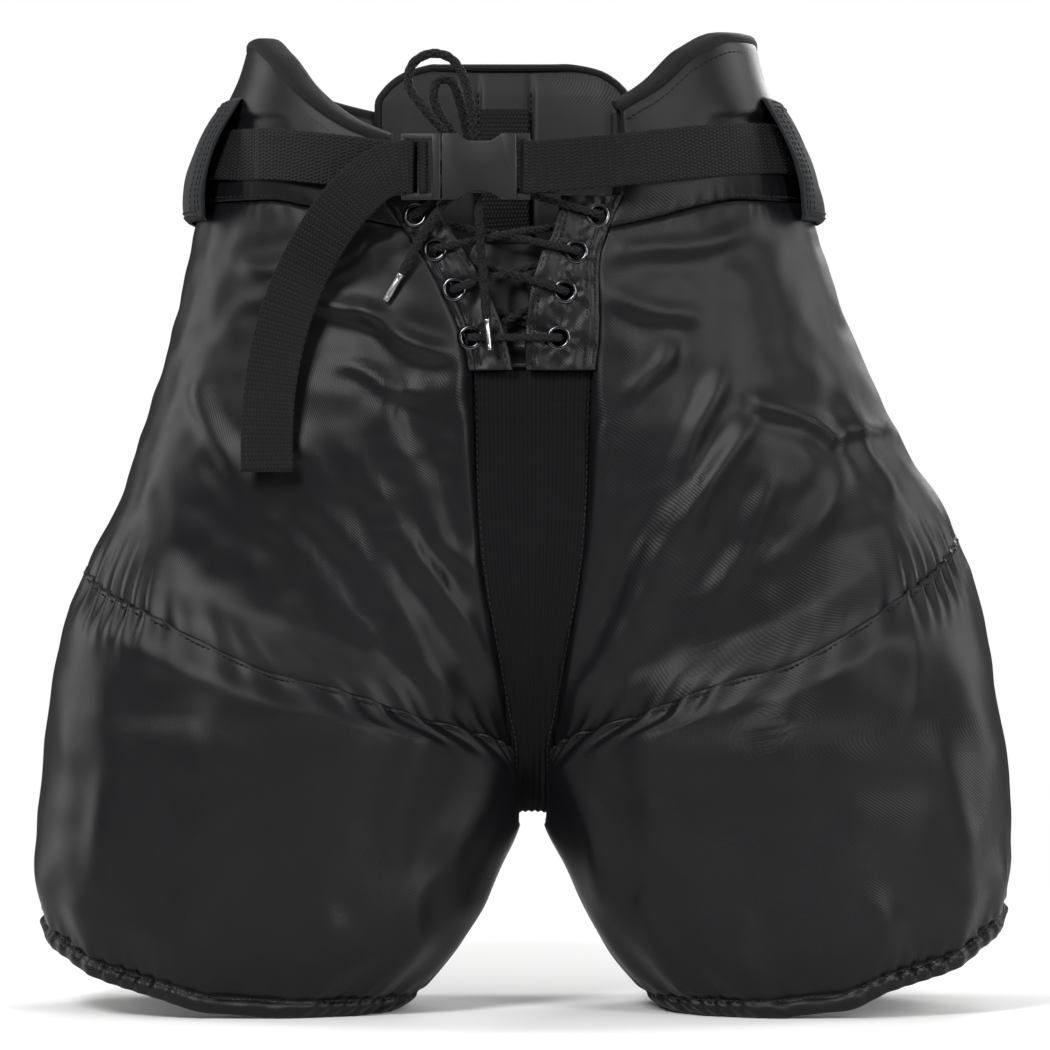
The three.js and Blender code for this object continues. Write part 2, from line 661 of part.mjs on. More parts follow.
const BUCKLE_HALF_HEIGHT = 16;
const BUCKLE_CAVITY = 13; // half height of the socket's cavity and of the strap slots
const LOW = BUCKLE_Z - BUCKLE_HALF_HEIGHT;
const HIGH = BUCKLE_Z + BUCKLE_HALF_HEIGHT;

// The socket: a flat box, open towards the plug, with two side windows and a bar for the belt.
function addSocket() {
  const inside = BUCKLE_CAVITY;
  const shell = [
    box(-39.6, -4, BUCKLE_Y - 4, BUCKLE_Y + 4, LOW, HIGH),
    box(-5, 3, BUCKLE_Y - 1.5, BUCKLE_Y + 1.5, LOW, HIGH),
  ];
  const cuts = [
    box(-45, -8, BUCKLE_Y - 2.4, BUCKLE_Y + 2.4, BUCKLE_Z - inside, BUCKLE_Z + inside),
    box(-31, -12, BUCKLE_Y - 2.4, BUCKLE_Y + 2.4, LOW - 1, HIGH + 1),
    box(-3.4, 0.6, BUCKLE_Y - 9, BUCKLE_Y + 9, BUCKLE_Z - inside, BUCKLE_Z + inside),
  ];
  const geometry = fromManifold(withoutPieces(joined(shell), cuts));
  place('buckle_socket', geometry, MATERIALS.buckle);
}

// The plug: a shoulder with a middle guide, and a ladder lock with two slots for the belt.
function addPlug() {
  const inside = BUCKLE_CAVITY;
  const solid = [
    box(-44, -40.4, BUCKLE_Y - 3.6, BUCKLE_Y + 3.6, LOW, HIGH),
    box(-59.2, -43, BUCKLE_Y - 1.5, BUCKLE_Y + 1.5, LOW, HIGH),
    box(-41, -16, BUCKLE_Y - 1.8, BUCKLE_Y + 1.8, BUCKLE_Z - 3.2, BUCKLE_Z + 3.2),
  ];
  const slot = (x0, x1) => box(x0, x1, BUCKLE_Y - 9, BUCKLE_Y + 9, BUCKLE_Z - inside,
    BUCKLE_Z + inside);
  const cuts = [slot(-56.6, -51.4), slot(-48.8, -44.6)];
  place('buckle_plug', fromManifold(withoutPieces(joined(solid), cuts)), MATERIALS.buckle);
}

// A springy prong on each side of the guide, with a shallow hook that shows in the window.
function addProngs() {
  for (const { name, sign } of [{ name: 'upper', sign: 1 }, { name: 'lower', sign: -1 }]) {
    const outline = [[-40, 7.5], [-40, 12], [-30.6, 12], [-28.5, 12.6], [-14.5, 12.6],
      [-12.6, 11], [-12.6, 9], [-16, 8.6], [-30, 8.6]];
    const shape = new THREE.Shape(outline.map(([x, z]) => new THREE.Vector2(x, sign * z)));
    const geometry = new THREE.ExtrudeGeometry(shape, { depth: 3.6, bevelEnabled: false });
    geometry.rotateX(Math.PI / 2);
    geometry.translate(0, BUCKLE_Y + 1.8, BUCKLE_Z);
    place(`buckle_prong_${name}`, geometry, MATERIALS.buckle);
  }
}

addSocket();
addPlug();
addProngs();

// ---------------------------------------------------------------- lace

const KNOT = { x: -27, y: -88, z: 411, radius: [8, 5, 5.5] };

// A point of the lacing at a given x and z, out in front of the strips or behind them.
function lacePoint(x, z, lift) {
  return [x, surfaceY(x, z, 0, -1) - lift, z];
}

const FRONT = 3.4;
const BEHIND = -5.4;

// One lace, pulled tight: it crosses the front at the bottom, then each half goes up behind
// one strip, out through an eyelet, over the strip's edge and under the other strip.
function addLacing() {
  const [l1, l2, l3, l4] = EYELETS.left;
  const [r1, r2, r3, r4] = EYELETS.right;
  const through = ([x, z], outwards) => {
    const levels = outwards ? [BEHIND, 0, FRONT] : [FRONT, 0, BEHIND];
    return levels.map((lift) => lacePoint(x, z, lift));
  };
  const between = (a, b, t, lift) => lacePoint(lerp(a[0], b[0], t), lerp(a[1], b[1], t), lift);
  const points = [
    [KNOT.x + 9, KNOT.y + 1, KNOT.z - 2],
    between(l1, [KNOT.x, KNOT.z], 0.45, FRONT + 1),
    ...through(l1, true).reverse(),
    between(l1, r2, 0.3, BEHIND),
    between(l1, r2, 0.52, 2.2),
    between(l1, r2, 0.74, FRONT),
    ...through(r2, false),
    between(r2, l3, 0.3, BEHIND),
    between(r2, l3, 0.6, 0),
    between(r2, l3, 0.8, FRONT),
    ...through(l3, false),
    between(l3, r4, 0.5, BEHIND),
    ...through(r4, true),
    between(r4, l4, 0.35, FRONT),
    between(r4, l4, 0.65, FRONT),
    ...through(l4, false),
    between(l4, r3, 0.5, BEHIND - 4.4),
    ...through(r3, true),
    between(r3, l2, 0.25, FRONT),
    between(r3, l2, 0.5, -3),
    between(r3, l2, 0.75, BEHIND - 1),
    ...through(l2, true),
    between(l2, r1, 0.3, FRONT),
    between(l2, r1, 0.52, -2.4),
    between(l2, r1, 0.76, BEHIND),
    ...through(r1, true),
    between(r1, [KNOT.x, KNOT.z], 0.35, FRONT + 1),
    [KNOT.x - 9, KNOT.y + 1, KNOT.z - 3],
  ];
  place('lacing', cord(points, LACING_DIAMETER, 96), MATERIALS.lace);
}

// The bow is tied behind the buckle: a knot, two loops that stand above the belt and two ends.
const LOOPS = {
  outer: [[-31, -89, 418.5], [-38, -89.5, 431], [-49, -89, 444], [-56, -88, 455],
    [-54, -87, 465], [-45.5, -87, 470], [-36, -88, 468], [-29.5, -89, 459], [-26, -89.5, 445],
    [-24.5, -89.5, 431], [-24, -89, 419]],
  inner: [[-30, -82.5, 418.5], [-34.5, -81.5, 431], [-41, -81, 441], [-44, -80.5, 450],
    [-41.5, -80, 457.5], [-35.5, -80.5, 457], [-31.5, -81.5, 448], [-28, -82.5, 433],
    [-25.5, -83, 419]],
};
const LACE_ENDS = {
  short: [[-32.5, -92.4, 404.2], [-36, -93, 400], [-40, -93.2, 395.5], [-45.5, -92.6, 388],
    [-51, -91.6, 378.5], [-56, -91, 369], [-59.5, -90.6, 363]],
  long: [[-23, -92.4, 403.4], [-22, -92.9, 398], [-21.8, -94, 388], [-21, -94.4, 375],
    [-19.6, -95.2, 362], [-18.8, -96.2, 349], [-18, -97, 341]],
};
const AGLET = { length: 15, diameter: 4.6 };

function addBow() {
  const knot = new THREE.SphereGeometry(1, 10, 8);
  knot.scale(...KNOT.radius);
  knot.translate(KNOT.x, KNOT.y, KNOT.z);
  place('lace_knot', knot, MATERIALS.lace);
  for (const [name, points] of Object.entries(LOOPS)) {
    place(`lace_loop_${name}`, cord(points, LACE_DIAMETER, 22), MATERIALS.lace);
  }
  for (const [name, points] of Object.entries(LACE_ENDS)) {
    place(`lace_end_${name}`, cord(points, LACE_DIAMETER, 10), MATERIALS.lace);
    place(`aglet_${name}`, agletGeometry(points), MATERIALS.silver);
  }
}

// A metal sleeve crimped on the end of the lace, in line with its last stretch.
function agletGeometry(points) {
  const end = new THREE.Vector3(...points.at(-1));
  const along = end.clone().sub(new THREE.Vector3(...points.at(-2))).normalize();
  const radius = AGLET.diameter / 2;
  const sleeve = new THREE.CylinderGeometry(radius, radius * 0.8, AGLET.length, 8);
  sleeve.applyQuaternion(new THREE.Quaternion()
    .setFromUnitVectors(new THREE.Vector3(0, -1, 0), along));
  sleeve.translate(...end.addScaledVector(along, AGLET.length / 2 + GAP).toArray());
  return sleeve;
}

addLacing();
addBow();

pants.position.set(0, CENTRE_SHIFT, 0);

export default pants;
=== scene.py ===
import math

import bmesh
import bpy
import numpy as np
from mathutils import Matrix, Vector, noise


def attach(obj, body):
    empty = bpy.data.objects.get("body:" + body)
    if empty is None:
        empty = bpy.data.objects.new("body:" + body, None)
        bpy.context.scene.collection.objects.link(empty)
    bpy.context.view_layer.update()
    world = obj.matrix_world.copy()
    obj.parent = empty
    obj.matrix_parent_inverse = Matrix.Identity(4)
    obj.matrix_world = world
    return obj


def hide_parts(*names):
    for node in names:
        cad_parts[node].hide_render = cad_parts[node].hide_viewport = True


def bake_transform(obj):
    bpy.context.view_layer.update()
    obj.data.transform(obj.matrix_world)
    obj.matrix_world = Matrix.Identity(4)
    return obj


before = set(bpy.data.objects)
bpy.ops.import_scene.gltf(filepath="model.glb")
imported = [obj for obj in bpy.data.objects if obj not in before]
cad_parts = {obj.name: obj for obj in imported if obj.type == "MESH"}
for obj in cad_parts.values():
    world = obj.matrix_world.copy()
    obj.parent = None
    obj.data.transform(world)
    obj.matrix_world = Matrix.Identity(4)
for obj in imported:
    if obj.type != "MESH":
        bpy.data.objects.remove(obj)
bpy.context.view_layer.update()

MM = 0.001
SHIFT = np.array([0.0, 9.22, 0.0])  # the design's middle line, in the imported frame
UP = np.array([0.0, 0.0, 1.0])

# ------------------------------------------------------------------ camera, light and floor

CAMERA_DISTANCE = 3.0
CAMERA_RISE = 0.03  # metres above the middle of the view
SENSOR_WIDTH = 36.0
VIEW_WIDTH = 0.520  # metres that the frame spans, VIEW_DEPTH in front of the middle
VIEW_DEPTH = 0.02
VIEW_CENTRE = Vector((0.0005, 0.0, 0.2405))
ROOM_LIGHT = 0.07
FLOOR_SIZE = 4
FLOOR_DROP = 0.0005
FLOOR_FADE = (0.35, 1.0)  # metres from the middle between which the floor fades out
WHITE = (1, 1, 1, 1)
LIGHT_TARGET = Vector((0, 0, 0.25))
LIGHTS = (  # name, place, width and height in metres, watts
    ("key", (-0.8, -1.6, 1.3), (0.5, 0.6), 44),
    ("fill", (1.1, -1.6, 0.8), (0.25, 1.1), 27),
    ("top", (0.0, 0.2, 2.2), (2.4, 2.0), 26),
    ("rim_left", (-1.6, 0.4, 0.7), (0.4, 1.4), 18),
    ("rim_right", (1.6, 0.4, 0.7), (0.4, 1.4), 18),
    ("back", (0.7, 1.7, 1.1), (0.9, 0.8), 20),
)


def add_camera():
    camera = bpy.data.objects.new("camera", bpy.data.cameras.new("camera"))
    bpy.context.scene.collection.objects.link(camera)
    camera.location = VIEW_CENTRE + Vector((0, -CAMERA_DISTANCE, CAMERA_RISE))
    camera.rotation_euler = (VIEW_CENTRE - camera.location).to_track_quat("-Z", "Y").to_euler()
    camera.data.sensor_width = SENSOR_WIDTH
    camera.data.lens = SENSOR_WIDTH * (CAMERA_DISTANCE - VIEW_DEPTH) / VIEW_WIDTH
    bpy.context.scene.camera = camera


def add_area(name, location, size, power):
    light = bpy.data.objects.new(name, bpy.data.lights.new(name, "AREA"))
    light.data.shape = "RECTANGLE"
    light.data.size, light.data.size_y = size
    light.data.energy = power
    light.location = location
    aim = LIGHT_TARGET - Vector(location)
    light.rotation_euler = aim.to_track_quat("-Z", "Y").to_euler()
    bpy.context.scene.collection.objects.link(light)


def mix_shaders(tree, share, first, second, output):
    mix = tree.nodes.new("ShaderNodeMixShader")
    for socket, source in zip(mix.inputs, (share, first.outputs[0], second.outputs[0])):
        tree.links.new(source, socket)
    tree.links.new(mix.outputs[0], output.inputs[0])


def add_floor():
    bpy.ops.mesh.primitive_plane_add(size=FLOOR_SIZE, location=(0, 0, -FLOOR_DROP))
    floor = bpy.context.object
    floor.name = "floor"
    floor.data.materials.append(floor_material())


def add_world():
    """A dim room that lights the pants, behind which the camera sees plain white."""
    world = bpy.data.worlds.new("studio")
    bpy.context.scene.world = world
    world.use_nodes = True
    tree = world.node_tree
    room, wall = tree.nodes["Background"], tree.nodes.new("ShaderNodeBackground")
    for background, strength in ((room, ROOM_LIGHT), (wall, 1.0)):
        background.inputs["Color"].default_value = WHITE
        background.inputs["Strength"].default_value = strength
    rays = tree.nodes.new("ShaderNodeLightPath")
    mix_shaders(tree, rays.outputs["Is Camera Ray"], room, wall, tree.nodes["World Output"])
    bpy.context.scene.view_settings.view_transform = "Standard"


# ------------------------------------------------------------------ materials

def new_material(name):
    material = bpy.data.materials.new(name)
    material.use_nodes = True
    tree = material.node_tree
    return material, tree, tree.nodes["Principled BSDF"]


def plain_material(name, color, roughness):
    material, _, shader = new_material(name)
    shader.inputs["Base Color"].default_value = (*color, 1)
    shader.inputs["Roughness"].default_value = roughness
    return material


def floor_material():
    """White paper that fades out to nothing well away from the pants."""
    material = plain_material("floor_paper", (0.78, 0.78, 0.775), 0.95)
    tree = material.node_tree
    place = tree.nodes.new("ShaderNodeTexCoord")
    distance = tree.nodes.new("ShaderNodeVectorMath")
    distance.operation = "LENGTH"
    tree.links.new(place.outputs["Object"], distance.inputs[0])
    fade = tree.nodes.new("ShaderNodeMapRange")
    fade.interpolation_type = "SMOOTHSTEP"
    fade.inputs["From Min"].default_value, fade.inputs["From Max"].default_value = FLOOR_FADE
    tree.links.new(distance.outputs["Value"], fade.inputs["Value"])
    clear = tree.nodes.new("ShaderNodeBsdfTransparent")
    mix_shaders(tree, fade.outputs[0], tree.nodes["Principled BSDF"], clear,
                tree.nodes["Material Output"])
    return material


def math_node(tree, operation, a, b=0.0, c=None):
    """A math node; each input is a number or another node's output."""
    node = tree.nodes.new("ShaderNodeMath")
    node.operation = operation
    for socket, value in zip(node.inputs, (a, b, c)):
        if value is None:
            continue
        if isinstance(value, (int, float)):
            socket.default_value = value
        else:
            tree.links.new(value, socket)
    return node.outputs[0]


def uv_axes(tree):
    """The two surface coordinates, in millimetres along the cloth."""
    source = tree.nodes.new("ShaderNodeUVMap")
    source.uv_map = "UVMap"
    split = tree.nodes.new("ShaderNodeSeparateXYZ")
    tree.links.new(source.outputs[0], split.inputs[0])
    return [math_node(tree, "MULTIPLY", split.outputs[i], 1000) for i in (0, 1)]


def stripes(tree, along, pitch, phase=0.0):
    """A smooth wave from 0 to 1 along a coordinate, one ridge every pitch millimetres."""
    turned = math_node(tree, "MULTIPLY_ADD", along, 2 * math.pi / pitch, phase)
    return math_node(tree, "MULTIPLY_ADD", math_node(tree, "SINE", turned), 0.5, 0.5)


def noise_node(tree, scale):
    place = tree.nodes.new("ShaderNodeTexCoord")
    node = tree.nodes.new("ShaderNodeTexNoise")
    node.inputs["Scale"].default_value = scale
    node.inputs["Detail"].default_value = 3.0
    tree.links.new(place.outputs["Object"], node.inputs["Vector"])
    return node.outputs[0]


def ramp(tree, value, low, high):
    """A 0 to 1 value spread over another range."""
    node = tree.nodes.new("ShaderNodeMapRange")
    node.inputs["To Min"].default_value = low
    node.inputs["To Max"].default_value = high
    tree.links.new(value, node.inputs["Value"])
    return node.outputs[0]


def color_between(tree, value, low, high):
    node = tree.nodes.new("ShaderNodeMix")
    node.data_type = "RGBA"
    node.inputs[6].default_value = (*low, 1)
    node.inputs[7].default_value = (*high, 1)
    tree.links.new(value, node.inputs[0])
    return node.outputs[2]


def add_bump(tree, shader, height, strength, distance):
    """Relief from a height of 0 to 1."""
    node = tree.nodes.new("ShaderNodeBump")
    node.inputs["Strength"].default_value = strength
    node.inputs["Distance"].default_value = distance
    tree.links.new(height, node.inputs["Height"])
    tree.links.new(node.outputs[0], shader.inputs["Normal"])


def finish_cloth(tree, shader, height, dark, light, rough, sheen, bump, wear_scale=9.0, gloss=0.12):
    """Colour, roughness and relief of a cloth from its thread height and slow variation; the colour carries
    painted shade in the grooves between threads and a painted highlight on their crests.
    """
    wear = noise_node(tree, wear_scale)
    # Painted shade and highlight: the thread height makes the colour darker in the grooves between threads
    # and lighter on their crests; the slow noise adds random tone.
    wear_and_groove_shade = math_node(tree, "MULTIPLY_ADD", wear, 0.55, math_node(tree, "MULTIPLY", height, 0.55))
    tree.links.new(color_between(tree, wear_and_groove_shade, dark, light), shader.inputs["Base Color"])
    tree.links.new(ramp(tree, wear, rough[0], rough[1]), shader.inputs["Roughness"])
    shader.inputs["Sheen Weight"].default_value = sheen
    shader.inputs["Sheen Roughness"].default_value = 0.45
    shader.inputs["Specular IOR Level"].default_value = gloss
    add_bump(tree, shader, height, bump[0], bump[1])


def twill(name, dark, light, rough, sheen, pitch=1.15, bump=(0.5, 0.00012)):
    """Diagonal ribs, each broken by the threads that cross it."""
    material, tree, shader = new_material(name)
    across, up = uv_axes(tree)
    ribs = stripes(tree, math_node(tree, "ADD", across, up), pitch * math.sqrt(2))
    crossing = stripes(tree, math_node(tree, "SUBTRACT", across, up), pitch * 0.62)
    height = math_node(tree, "MULTIPLY_ADD", crossing, 0.35, math_node(tree, "MULTIPLY", ribs, 0.65))
    finish_cloth(tree, shader, height, dark, light, rough, sheen, bump, gloss=0.2)
    return material


def plain_weave(name, dark, light, rough, sheen, pitch, bump):
    """Threads that cross at right angles."""
    material, tree, shader = new_material(name)
    across, up = uv_axes(tree)
    height = math_node(tree, "MULTIPLY", stripes(tree, across, pitch), stripes(tree, up, pitch, 1.0))
    finish_cloth(tree, shader, height, dark, light, rough, sheen, bump)
    return material


def rib_knit(name):
    """Fine upright ribs of a stretch knit, each a column of small loops."""
    material, tree, shader = new_material(name)
    across, up = uv_axes(tree)
    ribs = stripes(tree, across, 1.7)
    loops = stripes(tree, up, 1.2)
    height = math_node(tree, "MULTIPLY_ADD", loops, 0.3, math_node(tree, "MULTIPLY", ribs, 0.7))
    finish_cloth(tree, shader, height, (0.0008, 0.0008, 0.001), (0.0065, 0.0065, 0.0075),
                 (0.85, 0.98), 0.03, (0.7, 0.0004), gloss=0.1)
    return material


BLACK_YARN = (0.0006, 0.0006, 0.0008), (0.0115, 0.0115, 0.013)


def webbing_material(name):
    """Ribbed belt webbing: rows across the strap, each with slanted threads."""
    material, tree, shader = new_material(name)
    across, along = uv_axes(tree)
    rows = stripes(tree, along, 2.1)
    sway = math_node(tree, "MULTIPLY", stripes(tree, along, 4.2), 0.9)
    columns = stripes(tree, math_node(tree, "ADD", across, sway), 1.75)
    height = math_node(tree, "MULTIPLY_ADD", math_node(tree, "MULTIPLY", rows, columns), 0.8,
                       math_node(tree, "MULTIPLY", columns, 0.2))
    finish_cloth(tree, shader, height, *BLACK_YARN, (0.5, 0.72), 0.02, (1.0, 0.0005))
    return material


def braid_material(name):
    """A round braid: two sets of threads that cross at a slant."""
    material, tree, shader = new_material(name)
    around, along = uv_axes(tree)
    one, two = (stripes(tree, math_node(tree, way, around, along), 2.3) for way in ("ADD", "SUBTRACT"))
    height = math_node(tree, "MAXIMUM", one, two)
    finish_cloth(tree, shader, height, *BLACK_YARN, (0.5, 0.75), 0.03, (0.8, 0.0006), wear_scale=60)
    return material


def moulded(name, dark, light, roughness, metallic=0.0, grain=1500.0, strength=0.12):
    """Plastic, metal or foam with a fine grain."""
    material, tree, shader = new_material(name)
    wear = noise_node(tree, 40.0)
    tree.links.new(color_between(tree, wear, dark, light), shader.inputs["Base Color"])
    tree.links.new(ramp(tree, wear, roughness[0], roughness[1]), shader.inputs["Roughness"])
    shader.inputs["Metallic"].default_value = metallic
    add_bump(tree, shader, noise_node(tree, grain), strength, 0.0001)
    return material


MATERIALS = {
    "nylon": twill("nylon_twill", (0.0003, 0.0003, 0.0004), (0.006, 0.006, 0.0075), (0.36, 0.46), 0.003),
    "lining": twill("lining_cloth", (0.0006, 0.0006, 0.0008), (0.0105, 0.0105, 0.0125), (0.42, 0.52),
                    0.01, 1.3),
    "knit": rib_knit("stretch_knit"),
    "canvas": plain_weave("tunnel_cloth", (0.005, 0.0054, 0.0062), (0.017, 0.018, 0.0205), (0.78, 0.95),
                          0.06, 1.0, (0.4, 0.00012)),
    "binding": plain_weave("binding_tape", (0.002, 0.002, 0.0024), (0.010, 0.010, 0.0115), (0.55, 0.75),
                           0.03, 0.9, (0.7, 0.0003)),
    "webbing": webbing_material("belt_webbing"),
    "lace": braid_material("braided_lace"),
    "thread": plain_weave("thread", (0.004, 0.004, 0.0045), (0.018, 0.018, 0.02), (0.45, 0.6), 0.03,
                          0.5, (0.4, 0.0001)),
    "buckle": moulded("buckle_acetal", (0.002, 0.002, 0.0023), (0.005, 0.005, 0.0056), (0.3, 0.42)),
    "eyelet": moulded("eyelet_gunmetal", (0.05, 0.05, 0.056), (0.11, 0.11, 0.12), (0.16, 0.3), 1.0, 600),
    "aglet": moulded("aglet_steel", (0.3, 0.3, 0.31), (0.42, 0.42, 0.43), (0.25, 0.38), 1.0, 600, 0.04),
    "foam": moulded("closed_cell_foam", (0.012, 0.012, 0.013), (0.025, 0.025, 0.027), (0.85, 0.95), 0.0,
                    900, 0.6),
    "guard": moulded("guard_polyethylene", (0.55, 0.56, 0.57), (0.66, 0.67, 0.68), (0.35, 0.5)),
}

# ------------------------------------------------------------------ the pants' surface


def curve(*knots):
    """A smooth curve through (input, value) knots that doesn't overshoot them."""
    xs, ys = np.array(knots, float).T
    secants = np.diff(ys) / np.diff(xs)
    before = np.r_[secants[0], secants]
    after = np.r_[secants, secants[-1]]
    product = before * after
    slopes = np.where(product > 0, 2 * product / np.where(before + after == 0, 1, before + after), 0)

    def value(x):
        x = np.clip(x, xs[0], xs[-1])
        i = np.clip(np.searchsorted(xs, x, side="right") - 1, 0, len(xs) - 2)
        width = xs[i + 1] - xs[i]
        t = (x - xs[i]) / width
        rise = t * t * (3 - 2 * t)
        bend = t * (1 - t) ** 2 * width * slopes[i] - t * t * (1 - t) * width * slopes[i + 1]
        return ys[i] + (ys[i + 1] - ys[i]) * rise + bend

    return value


# Outlines at each height, as rounded squares. u runs from 0 at the front opening, round the
# side at 0.5, to 1 at the back opening.
SQUARENESS = 2.6
centre_x = curve((0, 4), (320, 4), (400, -10), (480, -10))
lean_x = curve((0, 0), (230, 0), (430, -11), (480, -11))
HIP = {
    "inner": curve((92, 9.5), (130, 2), (190, -45), (262, -78), (302, -120), (342, -150),
                   (382, -155), (400, -150), (422, -143), (445, -134), (464, -128), (480, -126)),
    "outer": curve((92, 232), (130, 226), (190, 214), (230, 206), (262, 198), (302, 182),
                   (342, 167), (382, 155), (400, 150), (422, 143), (445, 134), (464, 128), (480, 126)),
    "depth": curve((92, 72), (130, 75), (190, 79), (230, 82.5), (262, 86), (302, 88.5),
                   (342, 88), (382, 86), (400, 84), (422, 84), (445, 85), (464, 86.5), (480, 88)),
}
THIGH = {
    "inner": curve((0, 66), (13, 52), (33, 38.5), (53, 27), (73, 18.5), (92, 9.5), (110, 6),
                   (130, 2), (160, -5), (190, -14), (240, -60)),
    "outer": curve((0, 239), (53, 239.5), (92, 238.5), (130, 236), (160, 231), (190, 225), (240, 216)),
    "depth": curve((0, 70), (33, 75), (73, 79), (110, 83), (130, 86), (160, 88.5), (190, 90.5),
                   (240, 93)),
}
front_slit = curve((92, 9.5), (130, 9.5), (150, 13), (190, 20), (222, 25), (260, 28), (315, 29.5),
                   (337, 33), (370, 41), (394, 53), (404, 57), (480, 57))
back_slit = curve((92, 9.5), (130, 9.5), (190, 21), (250, 34), (300, 50), (350, 64), (400, 70), (480, 70))
THIGH_SEAM = {
    "left": curve((0, 130), (0.1, 148), (0.17, 168), (0.23, 190), (0.3, 210), (0.5, 236),
                  (0.7, 214), (0.83, 180), (1, 130)),
    "right": curve((0, 130), (0.1, 146), (0.17, 164), (0.23, 184), (0.3, 200), (0.5, 220),
                   (0.7, 204), (0.83, 176), (1, 130)),
}
HEM = {
    "left": curve((0, 0), (0.2, 0), (0.25, 3), (0.29, 13), (0.36, 23), (0.41, 33), (0.5, 44),
                  (0.6, 30), (0.7, 12), (0.78, 0), (1, 0)),
    "right": curve((0, 0), (0.2, 0), (0.25, 2), (0.29, 9), (0.36, 19), (0.41, 28), (0.5, 38),
                   (0.6, 26), (0.7, 10), (0.78, 0), (1, 0)),
}
band_seam = curve((0, 386), (0.2, 400), (1, 400))
WAIST_TOP = {
    "left": curve((0, 444), (0.07, 455), (0.16, 471), (0.28, 479.5), (0.42, 480), (0.6, 470),
                  (0.8, 457), (1, 448)),
    "right": curve((0, 428), (0.06, 435), (0.185, 454), (0.29, 470), (0.4, 478), (0.5, 477),
                   (0.65, 468), (0.82, 456), (1, 447)),
}
SIDES = (("left", 1), ("right", -1))  # the wearer's; left is towards +X


def lerp(a, b, t):
    return a + (b - a) * t


def smooth_step(x, low, high):
    t = np.clip((x - low) / (high - low), 0, 1)
    return t * t * (3 - 2 * t)


def section(shell, sign, z):
    """Middle, half width and depth of one side's outline at a height."""
    inner = centre_x(z) * sign + shell["inner"](z)
    outer = lean_x(z) * sign + shell["outer"](z)
    return (inner + outer) / 2, (outer - inner) / 2, shell["depth"](z)


def signed_power(value, power):
    """A power that keeps the sign, for rounded-square outlines."""
    return np.sign(value) * np.abs(value) ** power


def slit_angle(shell, sign, z, slit):
    """How far round the outline an opening's edge lies."""
    middle, half, _ = section(shell, sign, z)
    across = (middle - centre_x(z) * sign - slit(z)) / half
    return np.arccos(np.clip(signed_power(across, SQUARENESS / 2), -1, 1))


def at_angle(shell, sign, angle, z, offset):
    """A point of a shell at an angle from the inner side, lifted off it by an offset."""
    angle, z, offset = np.broadcast_arrays(angle, z, offset)
    middle, half, depth = section(shell, sign, z)
    power = 2 / SQUARENESS
    x = middle - (half + offset) * signed_power(np.cos(angle), power)
    y = -(depth + offset) * signed_power(np.sin(angle), power)
    return np.stack([sign * x, y, z], axis=-1)


def on_half(shell, sign, u, z, offset=0.0):
    """The point a share u of the way round one side, from the front opening to the back one.
    Below the crotch the openings' angles only matter close to them."""
    front = slit_angle(shell, sign, z, front_slit)
    back = slit_angle(shell, sign, z, back_slit)
    power = 1.0 if shell is HIP else lerp(8.0, 1.0, smooth_step(z, 100, 150))
    near_front = np.clip(1 - 2 * u, 0, 1) ** power
    near_back = np.clip(2 * u - 1, 0, 1) ** power
    angle = 2 * math.pi * u + np.where(u < 0.5, front * near_front, -back * near_back)
    return at_angle(shell, sign, angle, z, offset)


def surface_y(x, z, offset, facing):
    """The hip shell's front (facing -1) or back (facing 1) over a point of the front view."""
    x, z = np.broadcast_arrays(np.asarray(x, float), np.asarray(z, float))
    sign = np.where(x >= centre_x(z), 1, -1)
    middle, half, depth = section(HIP, sign, z)
    across = np.minimum(np.abs((sign * x - middle) / (half + offset)), 1)
    return facing * (depth + offset) * (1 - across ** SQUARENESS) ** (1 / SQUARENESS)


def middle_point(x, z, offset, facing):
    """The point of the hip shell over a point of the front view."""
    x, z = np.broadcast_arrays(np.asarray(x, float), np.asarray(z, float))
    return np.stack([x, surface_y(x, z, offset, facing), z], axis=-1)


# ------------------------------------------------------------------ mesh helpers

def framed(points):
    """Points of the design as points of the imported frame, in metres."""
    return [tuple(p) for p in (np.asarray(points, float) + SHIFT) * MM]


def link(name, mesh):
    """A mesh as an object in the scene."""
    piece = bpy.data.objects.new(name, mesh)
    bpy.context.scene.collection.objects.link(piece)
    return piece


def make_object(name, points, faces, uvs, material, body, slot, node_names=()):
    """A piece from points in millimetres; uvs holds one pair per point, in metres."""
    mesh = bpy.data.meshes.new(name)
    mesh.from_pydata(framed(points), [], faces)
    mesh.update()
    layer = mesh.uv_layers.new(name="UVMap")
    loops = np.zeros(len(mesh.loops), np.int32)
    mesh.loops.foreach_get("vertex_index", loops)
    layer.data.foreach_set("uv", np.asarray(uvs, np.float32)[loops].ravel())
    piece = link(name, mesh)
    mesh.materials.append(MATERIALS[material])
    mesh.shade_smooth()
    fix_normals(mesh)
    if body:
        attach(piece, body)
    if node_names:
        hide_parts(*node_names)
    return piece


def fix_normals(mesh):
    """Turns every face outwards."""
    work = bmesh.new()
    work.from_mesh(mesh)
    bmesh.ops.recalc_face_normals(work, faces=work.faces)
    work.to_mesh(mesh)
    work.free()


def arc_lengths(points):
    return np.r_[0, np.cumsum(np.linalg.norm(np.diff(points, axis=0), axis=1))]


def grid_normals(grid):
    """The direction each point of a grid faces."""
    across = np.gradient(grid, axis=1)
    up = np.gradient(grid, axis=0)
    normals = np.cross(across, up)
    return normals / np.maximum(np.linalg.norm(normals, axis=-1, keepdims=True), 1e-9)


def held_sideways(path, width):
    """One width direction for every point of a path."""
    return np.tile(np.asarray(width, float), (len(path), 1))


